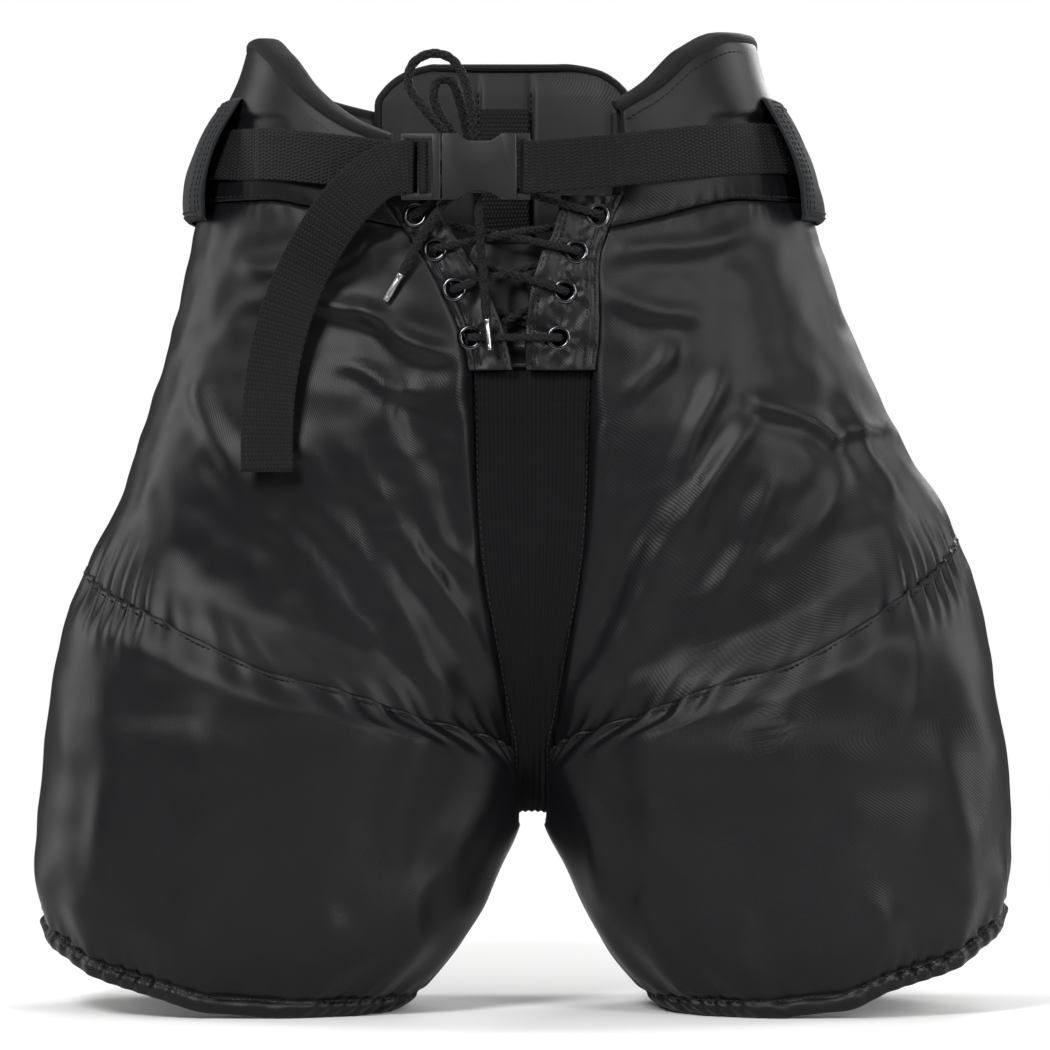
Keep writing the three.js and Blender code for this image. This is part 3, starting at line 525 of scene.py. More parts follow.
def sheet_mesh(outer, inner, keep=None):
    """Points, faces and uvs of a closed sheet between two grids of the same size. keep says
    which cells of the grid are cloth, where the sheet has holes."""
    rows, columns = outer.shape[:2]
    count = rows * columns
    across = np.linalg.norm(np.diff(outer, axis=1), axis=-1).mean(axis=0)
    up = np.linalg.norm(np.diff(outer, axis=0), axis=-1).mean(axis=1)
    uv = np.stack(np.meshgrid(np.r_[0, np.cumsum(across)], np.r_[0, np.cumsum(up)]), axis=-1) * MM
    k = np.arange(count).reshape(rows, columns)
    cells = np.stack([k[:-1, :-1], k[:-1, 1:], k[1:, 1:], k[1:, :-1]], -1)
    cells = (cells if keep is None else cells[keep]).reshape(-1, 4).tolist()
    edges = {(a, b) for cell in cells for a, b in zip(cell, cell[1:] + cell[:1])}
    rims = [(a, b) for a, b in edges if (b, a) not in edges]
    faces = cells + [[i + count for i in reversed(cell)] for cell in cells]
    faces += [[b, a, a + count, b + count] for a, b in sorted(rims)]
    points = np.concatenate([outer.reshape(-1, 3), inner.reshape(-1, 3)])
    uvs = np.concatenate([uv.reshape(-1, 2), uv.reshape(-1, 2)])
    if keep is None:
        return points, faces, uvs
    used = sorted({i for face in faces for i in face})
    renumber = {old: new for new, old in enumerate(used)}
    return points[used], [[renumber[i] for i in face] for face in faces], uvs[used]


def cloth_piece(name, grid, thickness, material, slot, node_names):
    inner = grid - grid_normals(grid) * thickness
    return make_object(name, *sheet_mesh(grid, inner), material, "waist", slot, node_names)


def resample(points, step):
    """Points at even steps along a smooth curve through the given ones."""
    points = np.asarray(points, float)
    chord = np.r_[0, np.cumsum(np.sqrt(np.linalg.norm(np.diff(points, axis=0), axis=1)))]
    tangents = np.gradient(points, chord, axis=0)
    fine_t = np.linspace(0, chord[-1], len(points) * 24)
    i = np.clip(np.searchsorted(chord, fine_t, side="right") - 1, 0, len(points) - 2)
    h = (chord[i + 1] - chord[i])[:, None]
    t = ((fine_t - chord[i]) / h[:, 0])[:, None]
    fine = (points[i] * (2 * t**3 - 3 * t**2 + 1) + points[i + 1] * (3 * t**2 - 2 * t**3)
            + tangents[i] * h * (t**3 - 2 * t**2 + t) + tangents[i + 1] * h * (t**3 - t**2))
    length = arc_lengths(fine)
    count = max(int(round(length[-1] / step)), 2) + 1
    even = np.linspace(0, length[-1], count)
    return np.stack([np.interp(even, length, fine[:, k]) for k in range(3)], axis=-1)


def resample_pair(points, widths, step):
    """The same, carrying a direction along with every point."""
    points = np.asarray(points, float)
    widths = np.asarray(widths, float)
    ends = resample(points, step)
    place, along = arc_lengths(points), arc_lengths(ends)
    along *= place[-1] / along[-1]
    carried = np.stack([curve(*zip(place, widths[:, k]))(along) for k in range(3)], axis=-1)
    return ends, carried


def unit(v):
    return v / np.maximum(np.linalg.norm(v, axis=-1, keepdims=True), 1e-9)


def transport(path):
    """A sideways direction at every point of a path, without twist."""
    tangents = unit(np.gradient(path, axis=0))
    side = np.array([0.0, -1.0, 0.0])
    sides = []
    for tangent in tangents:
        side = side - tangent * side.dot(tangent)
        if np.linalg.norm(side) < 1e-3:
            side = np.cross(tangent, UP)
        side = side / np.linalg.norm(side)
        sides.append(side)
    return np.array(sides)


def sweep_mesh(path, widths, profile, closed=False):
    """Points, faces and uvs of a profile carried along a path. The profile's x lies along the
    width direction and its y along the normal."""
    tangents = np.gradient(path, axis=0)
    if closed:
        tangents = np.roll(path, -1, axis=0) - np.roll(path, 1, axis=0)
    tangents = unit(tangents)
    widths = unit(widths - tangents * np.sum(widths * tangents, axis=-1, keepdims=True))
    normals = np.cross(tangents, widths)
    profile = np.asarray(profile, float)
    rings = (path[:, None] + widths[:, None] * profile[None, :, :1]
             + normals[:, None] * profile[None, :, 1:2])
    rows, sides = rings.shape[:2]
    k = np.arange(rows * sides).reshape(rows, sides)
    after = np.roll(k, -1, axis=1)
    if closed:
        upper, upper_after = np.roll(k, -1, axis=0), np.roll(after, -1, axis=0)
        faces = np.stack([k, after, upper_after, upper], -1).reshape(-1, 4).tolist()
    else:
        faces = np.stack([k[:-1], after[:-1], after[1:], k[1:]], -1).reshape(-1, 4).tolist()
        faces += [k[0, ::-1].tolist(), k[-1].tolist()]
    uvs = np.stack(np.meshgrid(arc_lengths(profile), arc_lengths(path)), axis=-1).reshape(-1, 2) * MM
    return rings.reshape(-1, 3), faces, uvs


def joined(meshes):
    """Several (points, faces, uvs) as one."""
    points, faces, uvs, start = [], [], [], 0
    for part_points, part_faces, part_uvs in meshes:
        points.append(part_points)
        uvs.append(part_uvs)
        faces += [[i + start for i in face] for face in part_faces]
        start += len(part_points)
    return np.concatenate(points), faces, np.concatenate(uvs)


def ellipse(width, height, sides=12, power=2.0):
    """A closed outline; a higher power squares it off."""
    angles = np.arange(sides) * 2 * math.pi / sides
    return np.stack([signed_power(np.cos(angles), 2 / power) * width / 2,
                     signed_power(np.sin(angles), 2 / power) * height / 2], axis=-1)


STITCH = ellipse(0.75, 0.6, 6)


def stitches(paths_and_normals, pitch=3.4, length=2.4, lift=0.15):
    """Short threads that lie along seam lines, dipping into the cloth at their ends."""
    meshes = []
    for path, normals in paths_and_normals:
        path = np.asarray(path, float)
        normals = unit(np.asarray(normals, float))
        place = arc_lengths(path)
        for start in np.arange(pitch * 0.3, place[-1] - length, pitch):
            at = np.array([start, start + length * 0.3, start + length * 0.7, start + length])
            points = np.stack([np.interp(at, place, path[:, k]) for k in range(3)], axis=-1)
            normal = np.stack([np.interp(at, place, normals[:, k]) for k in range(3)], axis=-1)
            points += normal * np.array([-0.25, lift, lift, -0.25])[:, None]
            meshes.append(sweep_mesh(points, np.cross(normal, np.gradient(points, axis=0)), STITCH))
    return joined(meshes)


def add_stitches(name, lines, body, slot, **settings):
    return make_object(name, *stitches(lines, **settings), "thread", body, slot)


# ------------------------------------------------------------------ hip, seat and waistband

FINE = 72  # points across a panel


def lumps(grid, scale, size):
    """Smooth lumps at every point of a grid, the same in every run."""
    flat = grid.reshape(-1, 3)
    values = np.array([noise.noise(Vector(p * scale)) for p in flat])
    return values.reshape(grid.shape[:-1]) * size


def ridge(distance, width):
    """A smooth hump, 1 at no distance."""
    return np.exp(-((distance / width) ** 2))


def gather(u, count, drift):
    """Small uneven pleats along a gathered seam, from -1 to 1."""
    depth = 0.7 + 0.3 * np.sin(u * drift * 0.6)
    return np.sin(u * 2 * math.pi * count + 2.3 * np.sin(u * drift)) * depth


def hip_height(name, u, v):
    """Heights above the thigh seam: v is 0 there, 1 at the waistband seam and 2 at the top."""
    low = THIGH_SEAM[name](u) - lerp(-1.5, 8, np.clip(np.minimum(u, 1 - u) / 0.22, 0, 1))
    seam = band_seam(u)
    return np.where(v <= 1, lerp(low, seam, v), lerp(seam, WAIST_TOP[name](u), v - 1))


def thigh_height(name, u, v):
    """Heights from the hem, where v is 0, to the thigh seam, where it is 1."""
    return lerp(HEM[name](u), THIGH_SEAM[name](u), v)


def panel(name, sign, shell, height, us, vs, lift, thickness=1.4, meet=None):
    """A lifted patch of a shell as (outer, inner) grids that face outwards. meet(u, z) is how
    much of the way the patch goes over to the thigh's shell, which it is sewn to."""
    u, v = np.meshgrid(us, vs)
    z = height(name, u, v)
    flat = on_half(shell, sign, u, z)
    outward = on_half(shell, sign, u, z, 1.0) - flat
    if meet:
        flat = lerp(flat, on_half(THIGH, sign, u, z, -2.0), meet(u, z)[..., None])
    grid = flat + outward * lift(u, v, z, flat)[..., None]
    if sign < 0:
        grid = grid[:, ::-1]
    return grid, grid - grid_normals(grid) * thickness


def edge_fade(x, low, high, width):
    """From 0 at the ends of a range to 1 inside it."""
    return np.clip(np.minimum(x - low, high - x) / width, 0, 1) ** 0.5


CREASE_GAIN = 1.3  # how much deeper the creases lie than their table says

# Creases as start (x, z), end (x, z), half width and height, in millimetres.
FRONT_CREASES = (
    ((-128, 352), (-72, 345), 6, 2.6), ((-80, 346), (-36, 323), 6, 3.2), ((-34, 318), (-29, 284), 5, 3.4),
    ((-30, 286), (-24, 205), 6, 2.6), ((-88, 318), (-52, 306), 5, 1.8), ((-60, 312), (-44, 268), 7, -3.2),
    ((-76, 268), (-18, 168), 6, 3.2), ((-98, 250), (-30, 150), 7, 2.6), ((-118, 236), (-72, 186), 7, 1.8),
    ((-48, 250), (-22, 212), 5, 2.0), ((-132, 300), (-98, 268), 8, 1.6), ((-72, 380), (-98, 356), 5, 1.8),
    ((-60, 384), (-76, 366), 4, 1.4), ((-160, 316), (-140, 262), 8, 1.5), ((-104, 372), (-136, 366), 6, 1.4),
    ((35, 314), (38, 226), 6, 2.4), ((108, 292), (40, 184), 7, 3.4), ((98, 314), (58, 226), 6, 2.2),
    ((90, 258), (33, 160), 6, 2.8), ((52, 300), (72, 330), 6, 2.0), ((157, 302), (184, 252), 6, 1.8),
    ((112, 304), (150, 284), 5, 2.2), ((150, 284), (176, 290), 5, 1.4), ((48, 372), (104, 384), 6, 1.8),
    ((44, 352), (84, 340), 6, 1.6), ((122, 262), (92, 204), 7, 2.2), ((150, 258), (118, 214), 7, 1.6),
    ((62, 196), (36, 146), 5, 1.8), ((-62, 190), (-34, 146), 5, 1.8),
)
BACK_CREASES = (
    ((-56, 312), (-104, 252), 8, 2.6), ((-50, 286), (-78, 232), 7, 2.4), ((-72, 340), (-128, 300), 7, 2.0),
    ((-36, 244), (-58, 188), 7, 2.4), ((-120, 262), (-160, 236), 8, 1.6), ((-80, 376), (-124, 360), 6, 1.6),
    ((54, 316), (98, 262), 8, 2.6), ((48, 282), (80, 226), 7, 2.4), ((74, 344), (122, 306), 7, 2.0),
    ((34, 240), (62, 192), 7, 2.4), ((128, 270), (168, 246), 8, 1.6), ((84, 372), (118, 352), 6, 1.6),
)
THIGH_CREASES = (
    ((-22, 126), (-44, 64), 8, 2.2), ((-52, 150), (-66, 84), 10, 1.6), ((-150, 150), (-146, 60), 16, 1.6),
    ((-62, 30), (-52, 70), 7, 1.8), ((-104, 20), (-98, 52), 8, 1.6), ((-168, 24), (-160, 60), 9, 1.6),
    ((-208, 60), (-196, 120), 10, 1.6), ((24, 124), (48, 66), 8, 2.2), ((58, 150), (74, 80), 10, 1.6),
    ((128, 160), (124, 70), 14, 1.6), ((72, 26), (64, 62), 7, 1.8), ((112, 18), (106, 50), 8, 1.6),
    ((176, 24), (170, 58), 9, 1.6), ((212, 70), (200, 132), 10, 1.6), ((186, 188), (178, 140), 9, 1.4),
)


def creases(points, table):
    """The lift of a table of creases, which meander a little and fade at both ends."""
    x, z = points[..., 0], points[..., 2]
    total = np.zeros(x.shape)
    for i, (start, end, width, height) in enumerate(table):
        run = np.subtract(end, start)
        length = np.hypot(*run)
        along = ((x - start[0]) * run[0] + (z - start[1]) * run[1]) / length
        off = ((x - start[0]) * run[1] - (z - start[1]) * run[0]) / length
        off = off + 2.2 * np.sin(along / length * 5 + i * 1.7)
        fade = smooth_step(along / length, -0.25, 0.2) * (1 - smooth_step(along / length, 0.75, 1.3))
        crest = ridge(off, 0.8 * width) - 0.4 * ridge(off - 1.5 * width, width)
        total = total + CREASE_GAIN * height * fade * crest
    return total


def add_hip_panel(name, sign, part, low_u, high_u):
    """The hip or seat cloth, creased, gathered at the thigh seam and sewn to the thigh."""
    def lift(u, v, z, flat):
        above = z - THIGH_SEAM[name](u)
        fade = edge_fade(u, low_u, high_u, 0.03) * smooth_step(above, 2, 30)
        table = FRONT_CREASES if part == "hip_panel" else BACK_CREASES
        rise = 0.8 + creases(flat, table) + lumps(flat, 0.018, 2.6) + lumps(flat, 0.07, 1.1)
        rise = rise * fade
        rise = rise + 1.5 * gather(u, 40, 37) * ridge(np.maximum(above, 0), 16)
        return rise + 0.45 * gather(u, 36, 23) * ridge(band_seam(u) - z, 7) - 0.6 * ridge(1 - v, 0.012)

    def meet(u, z):
        return 1 - smooth_step(z - THIGH_SEAM[name](u), -4, 40)

    grids = panel(name, sign, HIP, hip_height, np.linspace(low_u, high_u, FINE),
                  np.linspace(0, 0.998, 96), lift, meet=meet)
    piece = make_object(f"{name}_{part}_cloth", *sheet_mesh(*grids), "nylon", None, "nylon_twill",
                        [f"{name}_{part}"])
    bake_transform(piece)


def band_points(name, sign, us, v, lift):
    """Points along the waistband at one level."""
    return on_half(HIP, sign, us, hip_height(name, us, np.full_like(us, v)), lift)


def add_waistband(name, sign):
    """The padded band with its bound upper edge and two rows of stitches."""
    def lift(u, v, z, flat):
        t = v - 1
        arc = np.sin(math.pi * t)
        puff = 2.6 * np.clip(np.sin(math.pi * np.clip(t, 0, 1)), 0, 1) ** 0.5
        kidney = 2.4 * smooth_step(u, 0.12, 0.22) * (1 - smooth_step(u, 0.85, 0.97)) * arc ** 2
        rise = puff * edge_fade(u, 0, 1, 0.02) + kidney + lumps(flat, 0.03, 1.6) * arc
        under_belt = smooth_step(z, 402, 410) * (1 - smooth_step(z, 440, 448))
        rise = np.minimum(rise, lerp(9.0, 2.6, under_belt))
        return rise + 0.4 * gather(u, 40, 31) * ridge(t, 0.1)

    grids = panel(name, sign, HIP, hip_height, np.linspace(0.0, 1.0, 2 * FINE),
                  np.linspace(1.002, 2, 44), lift, 1.6)
    piece = make_object(f"{name}_waistband_cloth", *sheet_mesh(*grids), "nylon", "waist",
                        "nylon_twill", [f"{name}_waistband"])
    us = np.linspace(0.004, 0.996, 200)
    outer_edge = band_points(name, sign, us, 2.0, -6.5)
    tape = ellipse(7.5, 15.5, 18, 2.8)
    normals = band_points(name, sign, us, 2.0, 1.0) - band_points(name, sign, us, 2.0, 0.0)
    mesh = sweep_mesh(outer_edge, np.cross(normals, np.gradient(outer_edge, axis=0)), tape)
    make_object(f"{name}_waist_binding", *mesh, "binding", "waist", "nylon_twill")
    seam = band_points(name, sign, us, 1.0, 0.4) + UP * 2.2
    below = band_points(name, sign, us, 2.0, 1.6) - UP * 6.2
    add_stitches(f"{name}_waistband_stitches", [(seam, normals), (below, normals)], "waist",
                 "nylon_twill", lift=0.25)


def add_hip_lining(name, sign):
    def lift(u, v, z, flat):
        return -13.5 + lumps(flat, 0.03, 1.2)

    grids = panel(name, sign, HIP, hip_height, np.linspace(0.004, 0.996, FINE),
                  np.linspace(1 / 6, 1.97, 70), lift, 1.3)
    make_object(f"{name}_hip_lining_cloth", *sheet_mesh(*grids), "lining", "waist", "lining_mesh",
                [f"{name}_hip_lining"])


# ------------------------------------------------------------------ thighs

CASING = 8.0  # height of the hem's elastic casing, in millimetres


def seam_dip(u):
    """The thigh's top corner is drawn in at the side, where the hip cloth is sewn to it."""
    return -2.0 * ridge(u - 0.5, 0.12)


def thigh_lift(name):
    """The padded thigh: puffed between its seams, gathered at both, with a casing at the hem."""
    def lift(u, v, z, flat):
        above = z - HEM[name](u)
        below = THIGH_SEAM[name](u) - z
        inner = edge_fade(u, 0, 1, 0.05)
        puff = 6.5 - 2 * ridge(u - 0.5, 0.09)
        puff = puff * smooth_step(below, -2, 20) * smooth_step(above, 4, 34) * inner
        seam = 0.5 + 0.5 * np.cos(np.clip((u - 0.5) / 0.012, -1, 1) * math.pi)
        soft = lumps(flat, 0.016, 3.0) + lumps(flat, 0.05, 1.0) + creases(flat, THIGH_CREASES)
        soft = soft * smooth_step(above, 6, 40) * smooth_step(below, 2, 24) * inner
        puff = puff * (1 - 0.55 * seam) + soft
        puckers = 1.8 * gather(u, 40, 37) * ridge(np.maximum(below, 0), 14)
        hem = 1.1 * gather(u, 52, 41) * ridge(above - CASING, 7) - 1.5 * ridge(above - CASING, 1.6)
        casing = 1.3 * np.sin(math.pi * np.clip(above / CASING, 0, 1)) + 0.4 * gather(u, 52, 41)
        casing = casing * (above < CASING)
        puckers = puckers + seam_dip(u) * ridge(np.maximum(below, 0), 18)
        drag = 1.9 * gather(u, 15, 11) * ridge(above - 18, 17) * inner
        return puff + puckers + hem + casing + drag
    return lift


def add_thigh(name, sign):
    """Front and back cloth of one thigh, its stitches, lining and hem facing."""
    body = f"{name}_leg"
    rows = np.r_[np.linspace(0, 0.16, 34), np.linspace(0.17, 0.8, 44), np.linspace(0.81, 1, 26)]
    for part, low_u, high_u in (("front", 0.0, 0.5), ("back", 0.5, 1.0)):
        grids = panel(name, sign, THIGH, thigh_height, np.linspace(low_u, high_u, 2 * FINE), rows,
                      thigh_lift(name), 2.0)
        piece = make_object(f"{name}_thigh_{part}_cloth", *sheet_mesh(*grids), "nylon", body,
                            "nylon_twill", [f"{name}_thigh_{part}_panel"])

    us = np.linspace(0.0, 1.0, 260)
    seam = THIGH_SEAM[name](us)
    normals = on_half(THIGH, sign, us, seam, 1.0) - on_half(THIGH, sign, us, seam)
    casing = on_half(THIGH, sign, us, HEM[name](us) + CASING, -0.2)
    top = on_half(THIGH, sign, us, seam - 2.4, 0.9 + seam_dip(us))
    add_stitches(f"{name}_thigh_stitches", [(casing, normals), (top, normals)], body, "nylon_twill",
                 pitch=3.0, length=2.1, lift=0.3)

    def lining_lift(u, v, z, flat):
        return -17 + lumps(flat, 0.03, 1.5)

    grids = panel(name, sign, THIGH, thigh_height, np.linspace(0.006, 0.994, FINE),
                  np.linspace(0.03, 0.7, 50), lining_lift, 1.3)
    make_object(f"{name}_thigh_lining_cloth", *sheet_mesh(*grids), "lining", body, "lining_mesh",
                [f"{name}_thigh_lining"])

    def hem_lift(u, v, z, flat):
        return lerp(-4, -17, v / 0.05) + 0.3 * gather(u, 52, 41)

    grids = panel(name, sign, THIGH, thigh_height, us, np.linspace(0.004, 0.05, 8), hem_lift, 1.0)
    make_object(f"{name}_hem_facing", *sheet_mesh(*grids), "nylon", body, "nylon_twill",
                [f"{name}_hem_elastic"])


# ------------------------------------------------------------------ middle panels

GUSSET_PROFILE = ((-84, 316), (-83, 285), (-82.5, 255), (-79, 225), (-72, 195), (-62, 168),
                  (-48, 142), (-30, 116), (-12, 100.5), (0, 96.5))
GUSSET_BANDS = (309, 303.5, 298, 293.5)  # heights of the bands across its top


def add_gusset():
    """The stretch gusset from the fly, under the crotch and up to the back pad."""
    mirrored = [(-y, min(z, 308)) for y, z in GUSSET_PROFILE[-2::-1]]
    path = resample([(0, y, z) for y, z in list(GUSSET_PROFILE) + mirrored], 1.6)
    tangents = unit(np.gradient(path, axis=0))
    slit = np.where(path[:, 1] < 0, front_slit(path[:, 2]), back_slit(path[:, 2]))
    half = slit + 1.5
    s = np.linspace(-1, 1, 60)
    x = centre_x(path[:, 2])[:, None] + s[None] * half[:, None]
    top_bands = sum(ridge(path[:, 2] - level, 1.3) for level in GUSSET_BANDS)
    sag = 1.2 * np.cos(s * math.pi / 2)[None] * np.ones(len(path))[:, None]
    lift = (top_bands * (path[:, 1] < 0))[:, None] - sag + 0.35 * np.sin(x * 2 * math.pi / 3.1)
    lift = lift + 0.4 - 0.8 * (np.abs(s) > 0.93)[None]
    y = path[:, None, 1] + tangents[:, None, 2] * lift
    z = path[:, None, 2] - tangents[:, None, 1] * lift
    grid = np.stack([x, y, z], axis=-1)
    piece = cloth_piece("gusset_knit", grid[::-1], 1.8, "knit", "stretch_knit", ["crotch_gusset"])
    out = np.stack([0 * tangents[:, 0], tangents[:, 2], -tangents[:, 1]], axis=-1)
    lines = []
    for side in (-1, 1):
        edge_x = centre_x(path[:, 2]) + side * (half - 3.2)
        edge = np.stack([edge_x, path[:, 1], path[:, 2]], axis=-1)
        lines.append((edge + out * 0.6, out))
    add_stitches("gusset_stitches", lines, "waist", "stretch_knit", lift=0.35)


def middle_grid(low, high, half_width, lift, facing, columns, rows):
    """A grid over the middle of the front or back, as wide as half_width says."""
    z = np.linspace(low, high, rows)[:, None]
    s = np.linspace(-1, 1, columns)[None]
    x = centre_x(z) + s * half_width(z)
    zz = np.broadcast_to(z, x.shape)
    grid = middle_point(x, zz, lift(x, zz, s), facing)
    return grid if facing < 0 else grid[:, ::-1]


def arch(z, start, end, drop):
    """How much a rounded end narrows between two heights."""
    rise = np.clip((z - start) / (end - start), 0, 1)
    return drop * (1 - np.sqrt(1 - rise * rise))


def add_tongue():
    """The quilted tongue behind the lacing."""
    def half_width(z):
        return 25 - arch(z, 352, 381, 15)

    def lift(x, z, s):
        return -lerp(4, 13, np.clip((z - 319) / 9, 0, 1)) + 1.2 * np.sin(x / 3.1) * 0.3

    grid = middle_grid(319, 381, half_width, lift, -1, 50, 60)
    piece = cloth_piece("tongue_cloth", grid, 2.4, "nylon", "stretch_knit", ["fly_tongue"])
    edge = grid[-1] + np.array([0, 1.2, 0])
    rim = sweep_mesh(edge, held_sideways(edge, UP), ellipse(7, 4.6, 12, 2.6))
    make_object("tongue_binding", *rim, "binding", "waist", "stretch_knit")


BACK_PAD = {"bottom": 300, "top": 473, "half_width": 68, "corner": 30}
HANGER = 372, 452
WEBBING_WIDTH, WEBBING_THICKNESS = 25.4, 1.7


def back_half_width(inset):
    """Half the back pad's width at a height, drawn in by an inset."""
    def width(z):
        corner = BACK_PAD["corner"]
        rounded = BACK_PAD["half_width"] - arch(z, BACK_PAD["top"] - corner - inset,
                                                BACK_PAD["top"] - inset, corner)
        return np.minimum(back_slit(z) - 5, rounded) - inset
    return width


def pad_border(z, s):
    """From 0 at the back pad's edges to 1 inside them."""
    sides = np.clip((1 - np.abs(s)) / 0.2, 0, 1)
    ends = np.clip(np.minimum(z - BACK_PAD["bottom"], BACK_PAD["top"] - z) / 14, 0, 1)
    return np.minimum(sides, ends)


def add_back_pad():
    """The back pad: quilted outside, lined inside, bound round its rim."""
    low, high = BACK_PAD["bottom"], BACK_PAD["top"]

    def face(x, z, s):
        border = pad_border(z, s)
        quilt = -1.5 * (ridge(np.abs(x - centre_x(z)) - 17, 1.4) * (z > low + 12) * (z < high - 14))
        return 5.5 * border ** 0.5 + quilt * border

    def inside(x, z, s):
        border = pad_border(z, s)
        seams = ridge(np.abs(x - centre_x(z)) - 13.5, 1.5) * (z < 474)
        return -18.0 - 2.2 * border ** 0.5 + 1.6 * seams * border

    cover = middle_grid(low, high, back_half_width(0), face, 1, 110, 120)
    piece = cloth_piece("back_pad_cloth", cover, 1.6, "nylon", "nylon_twill", ["back_pad_cover"])
    lining = middle_grid(low + 1, high - 1, back_half_width(1), inside, -1, 110, 120)
    lining = (lining * np.array([1, -1, 1]))[:, ::-1]
    make_object("back_pad_inside", *sheet_mesh(lining, lining + [0, 1.5, 0]), "lining", "waist",
                "nylon_twill", ["back_pad_lining"])

    heights = np.linspace(low, high, 160)
    half = back_half_width(1)(heights)
    left, right = (middle_point(centre_x(heights) + side * half, heights, -9.5, 1) for side in (1, -1))
    top = np.linspace(left[-1], right[-1], 24)[1:-1]
    rim = resample(np.concatenate([left[::4], top[::3], right[::-1][::4]]), 1.6)
    mesh = sweep_mesh(rim, held_sideways(rim, (0, 1, 0)), ellipse(21.5, 5, 16, 3))
    make_object("back_pad_binding", *mesh, "binding", "waist", "nylon_twill")
    levels = np.linspace(low + 6, high - 11, 120)
    normal = held_sideways(levels, (0, -1, 0))
    lines = [(middle_point(centre_x(levels) + x, levels, -19.4, 1), normal) for x in (-13.5, 13.5)]
    add_stitches("back_pad_stitches", lines, "waist", "nylon_twill", lift=0.2)


def add_hanger_loop():
    """The webbing loop inside the back pad."""
    z = np.linspace(*HANGER, 44)
    bow = 2.2 * np.sin(math.pi * (z - HANGER[0]) / (HANGER[1] - HANGER[0]))
    tab = middle_point(centre_x(z), z, -22.0 - bow, 1)
    mesh = sweep_mesh(tab, held_sideways(tab, (1, 0, 0)), ellipse(WEBBING_WIDTH, WEBBING_THICKNESS, 20, 6))
    piece = make_object("hanger_loop", *mesh, "webbing", "waist", "webbing", ["hanger_tab"])


# ------------------------------------------------------------------ fly: plackets and eyelets

PLACKET_EDGE = {
    "left": curve((316, 1), (328, 0.5), (343, 1.5), (356, 3), (365, 5.5), (375, 9), (382, 13.5),
                  (400, 18)),
    "right": curve((316, -5), (336, -10), (355, -17.5), (378, -31), (390, -39), (400, -44)),
}
EYELETS = {
    "left": ((36, 391.5), (25.4, 374), (19.9, 354.6), (16.9, 332.2)),
    "right": ((-52.8, 391.5), (-43.3, 375), (-33.9, 355.6), (-26, 332.2)),
}
EYELET_HOLE = 4.7


def front_normal(x, z):
    """The direction the front of the hips faces at a point."""
    step = 2.0
    slope_x = (surface_y(x + step, z, 0, -1) - surface_y(x - step, z, 0, -1)) / (2 * step)
    slope_z = (surface_y(x, z + step, 0, -1) - surface_y(x, z - step, 0, -1)) / (2 * step)
    return unit(np.array([slope_x, -1.0, slope_z]).reshape(3))


def placket_x(name, sign, z, s):
    """Across an eyelet strip, from its sewn edge (0) to its free edge (1)."""
    outer = centre_x(z) + sign * (front_slit(z) + 1.5)
    return lerp(outer, PLACKET_EDGE[name](z), s)


def add_placket(name, sign):
    """A strip with four eyelet holes, puckered round them and stitched along its edges."""
    z = np.linspace(316.5, 401.5, 130)[:, None]
    s = np.linspace(0, 1, 72)[None]
    x = placket_x(name, sign, z, s)
    zz = np.broadcast_to(z, x.shape)
    lift = 0.9 + 0.7 * edge_fade(s, 0, 1, 0.12) * np.ones_like(x)
    lift = lift - 0.5 * ridge(np.abs(x - placket_x(name, sign, z, 0)) - 4.0, 0.8)
    lift = lift + lumps(np.stack([x, zz, zz], -1), 0.06, 1.2) + lumps(np.stack([x, zz, x], -1), 0.13, 1.0)
    holes = np.ones(x.shape, bool)
    for ex, ez in EYELETS[name]:
        away = np.hypot(x - ex, zz - ez)
        puckers = 0.25 * np.cos(np.arctan2(zz - ez, x - ex) * 9) * ridge(away - 7.5, 2)
        lift = lift - 0.7 * ridge(away, 7.5) - puckers
        holes &= away > EYELET_HOLE
    grid = middle_point(x, zz, lift, -1)
    keep = holes[:-1, :-1] & holes[1:, :-1] & holes[:-1, 1:] & holes[1:, 1:]
    if sign > 0:
        grid, keep = grid[:, ::-1], keep[:, ::-1]
    mesh = sheet_mesh(grid, grid - grid_normals(grid) * 2.0, keep)
    make_object(f"{name}_placket_cloth", *mesh, "nylon", "waist", "nylon_twill", [f"{name}_placket"])
    levels = np.linspace(318, 400, 90)
    inner, outer = PLACKET_EDGE[name](levels), placket_x(name, sign, levels, 0)
    lines = []
    for edge, inset in ((inner, 2.2), (inner, 4.6), (outer, 2.0), (outer, 6.2)):
        towards = np.sign(inner - outer) * (1 if edge is outer else -1)
        path = middle_point(edge + towards * inset, levels, 1.5, -1)
        lines.append((path, np.array([front_normal(*p) for p in path[:, ::2]])))
    add_stitches(f"{name}_placket_stitches", lines, "waist", "nylon_twill", lift=0.3)


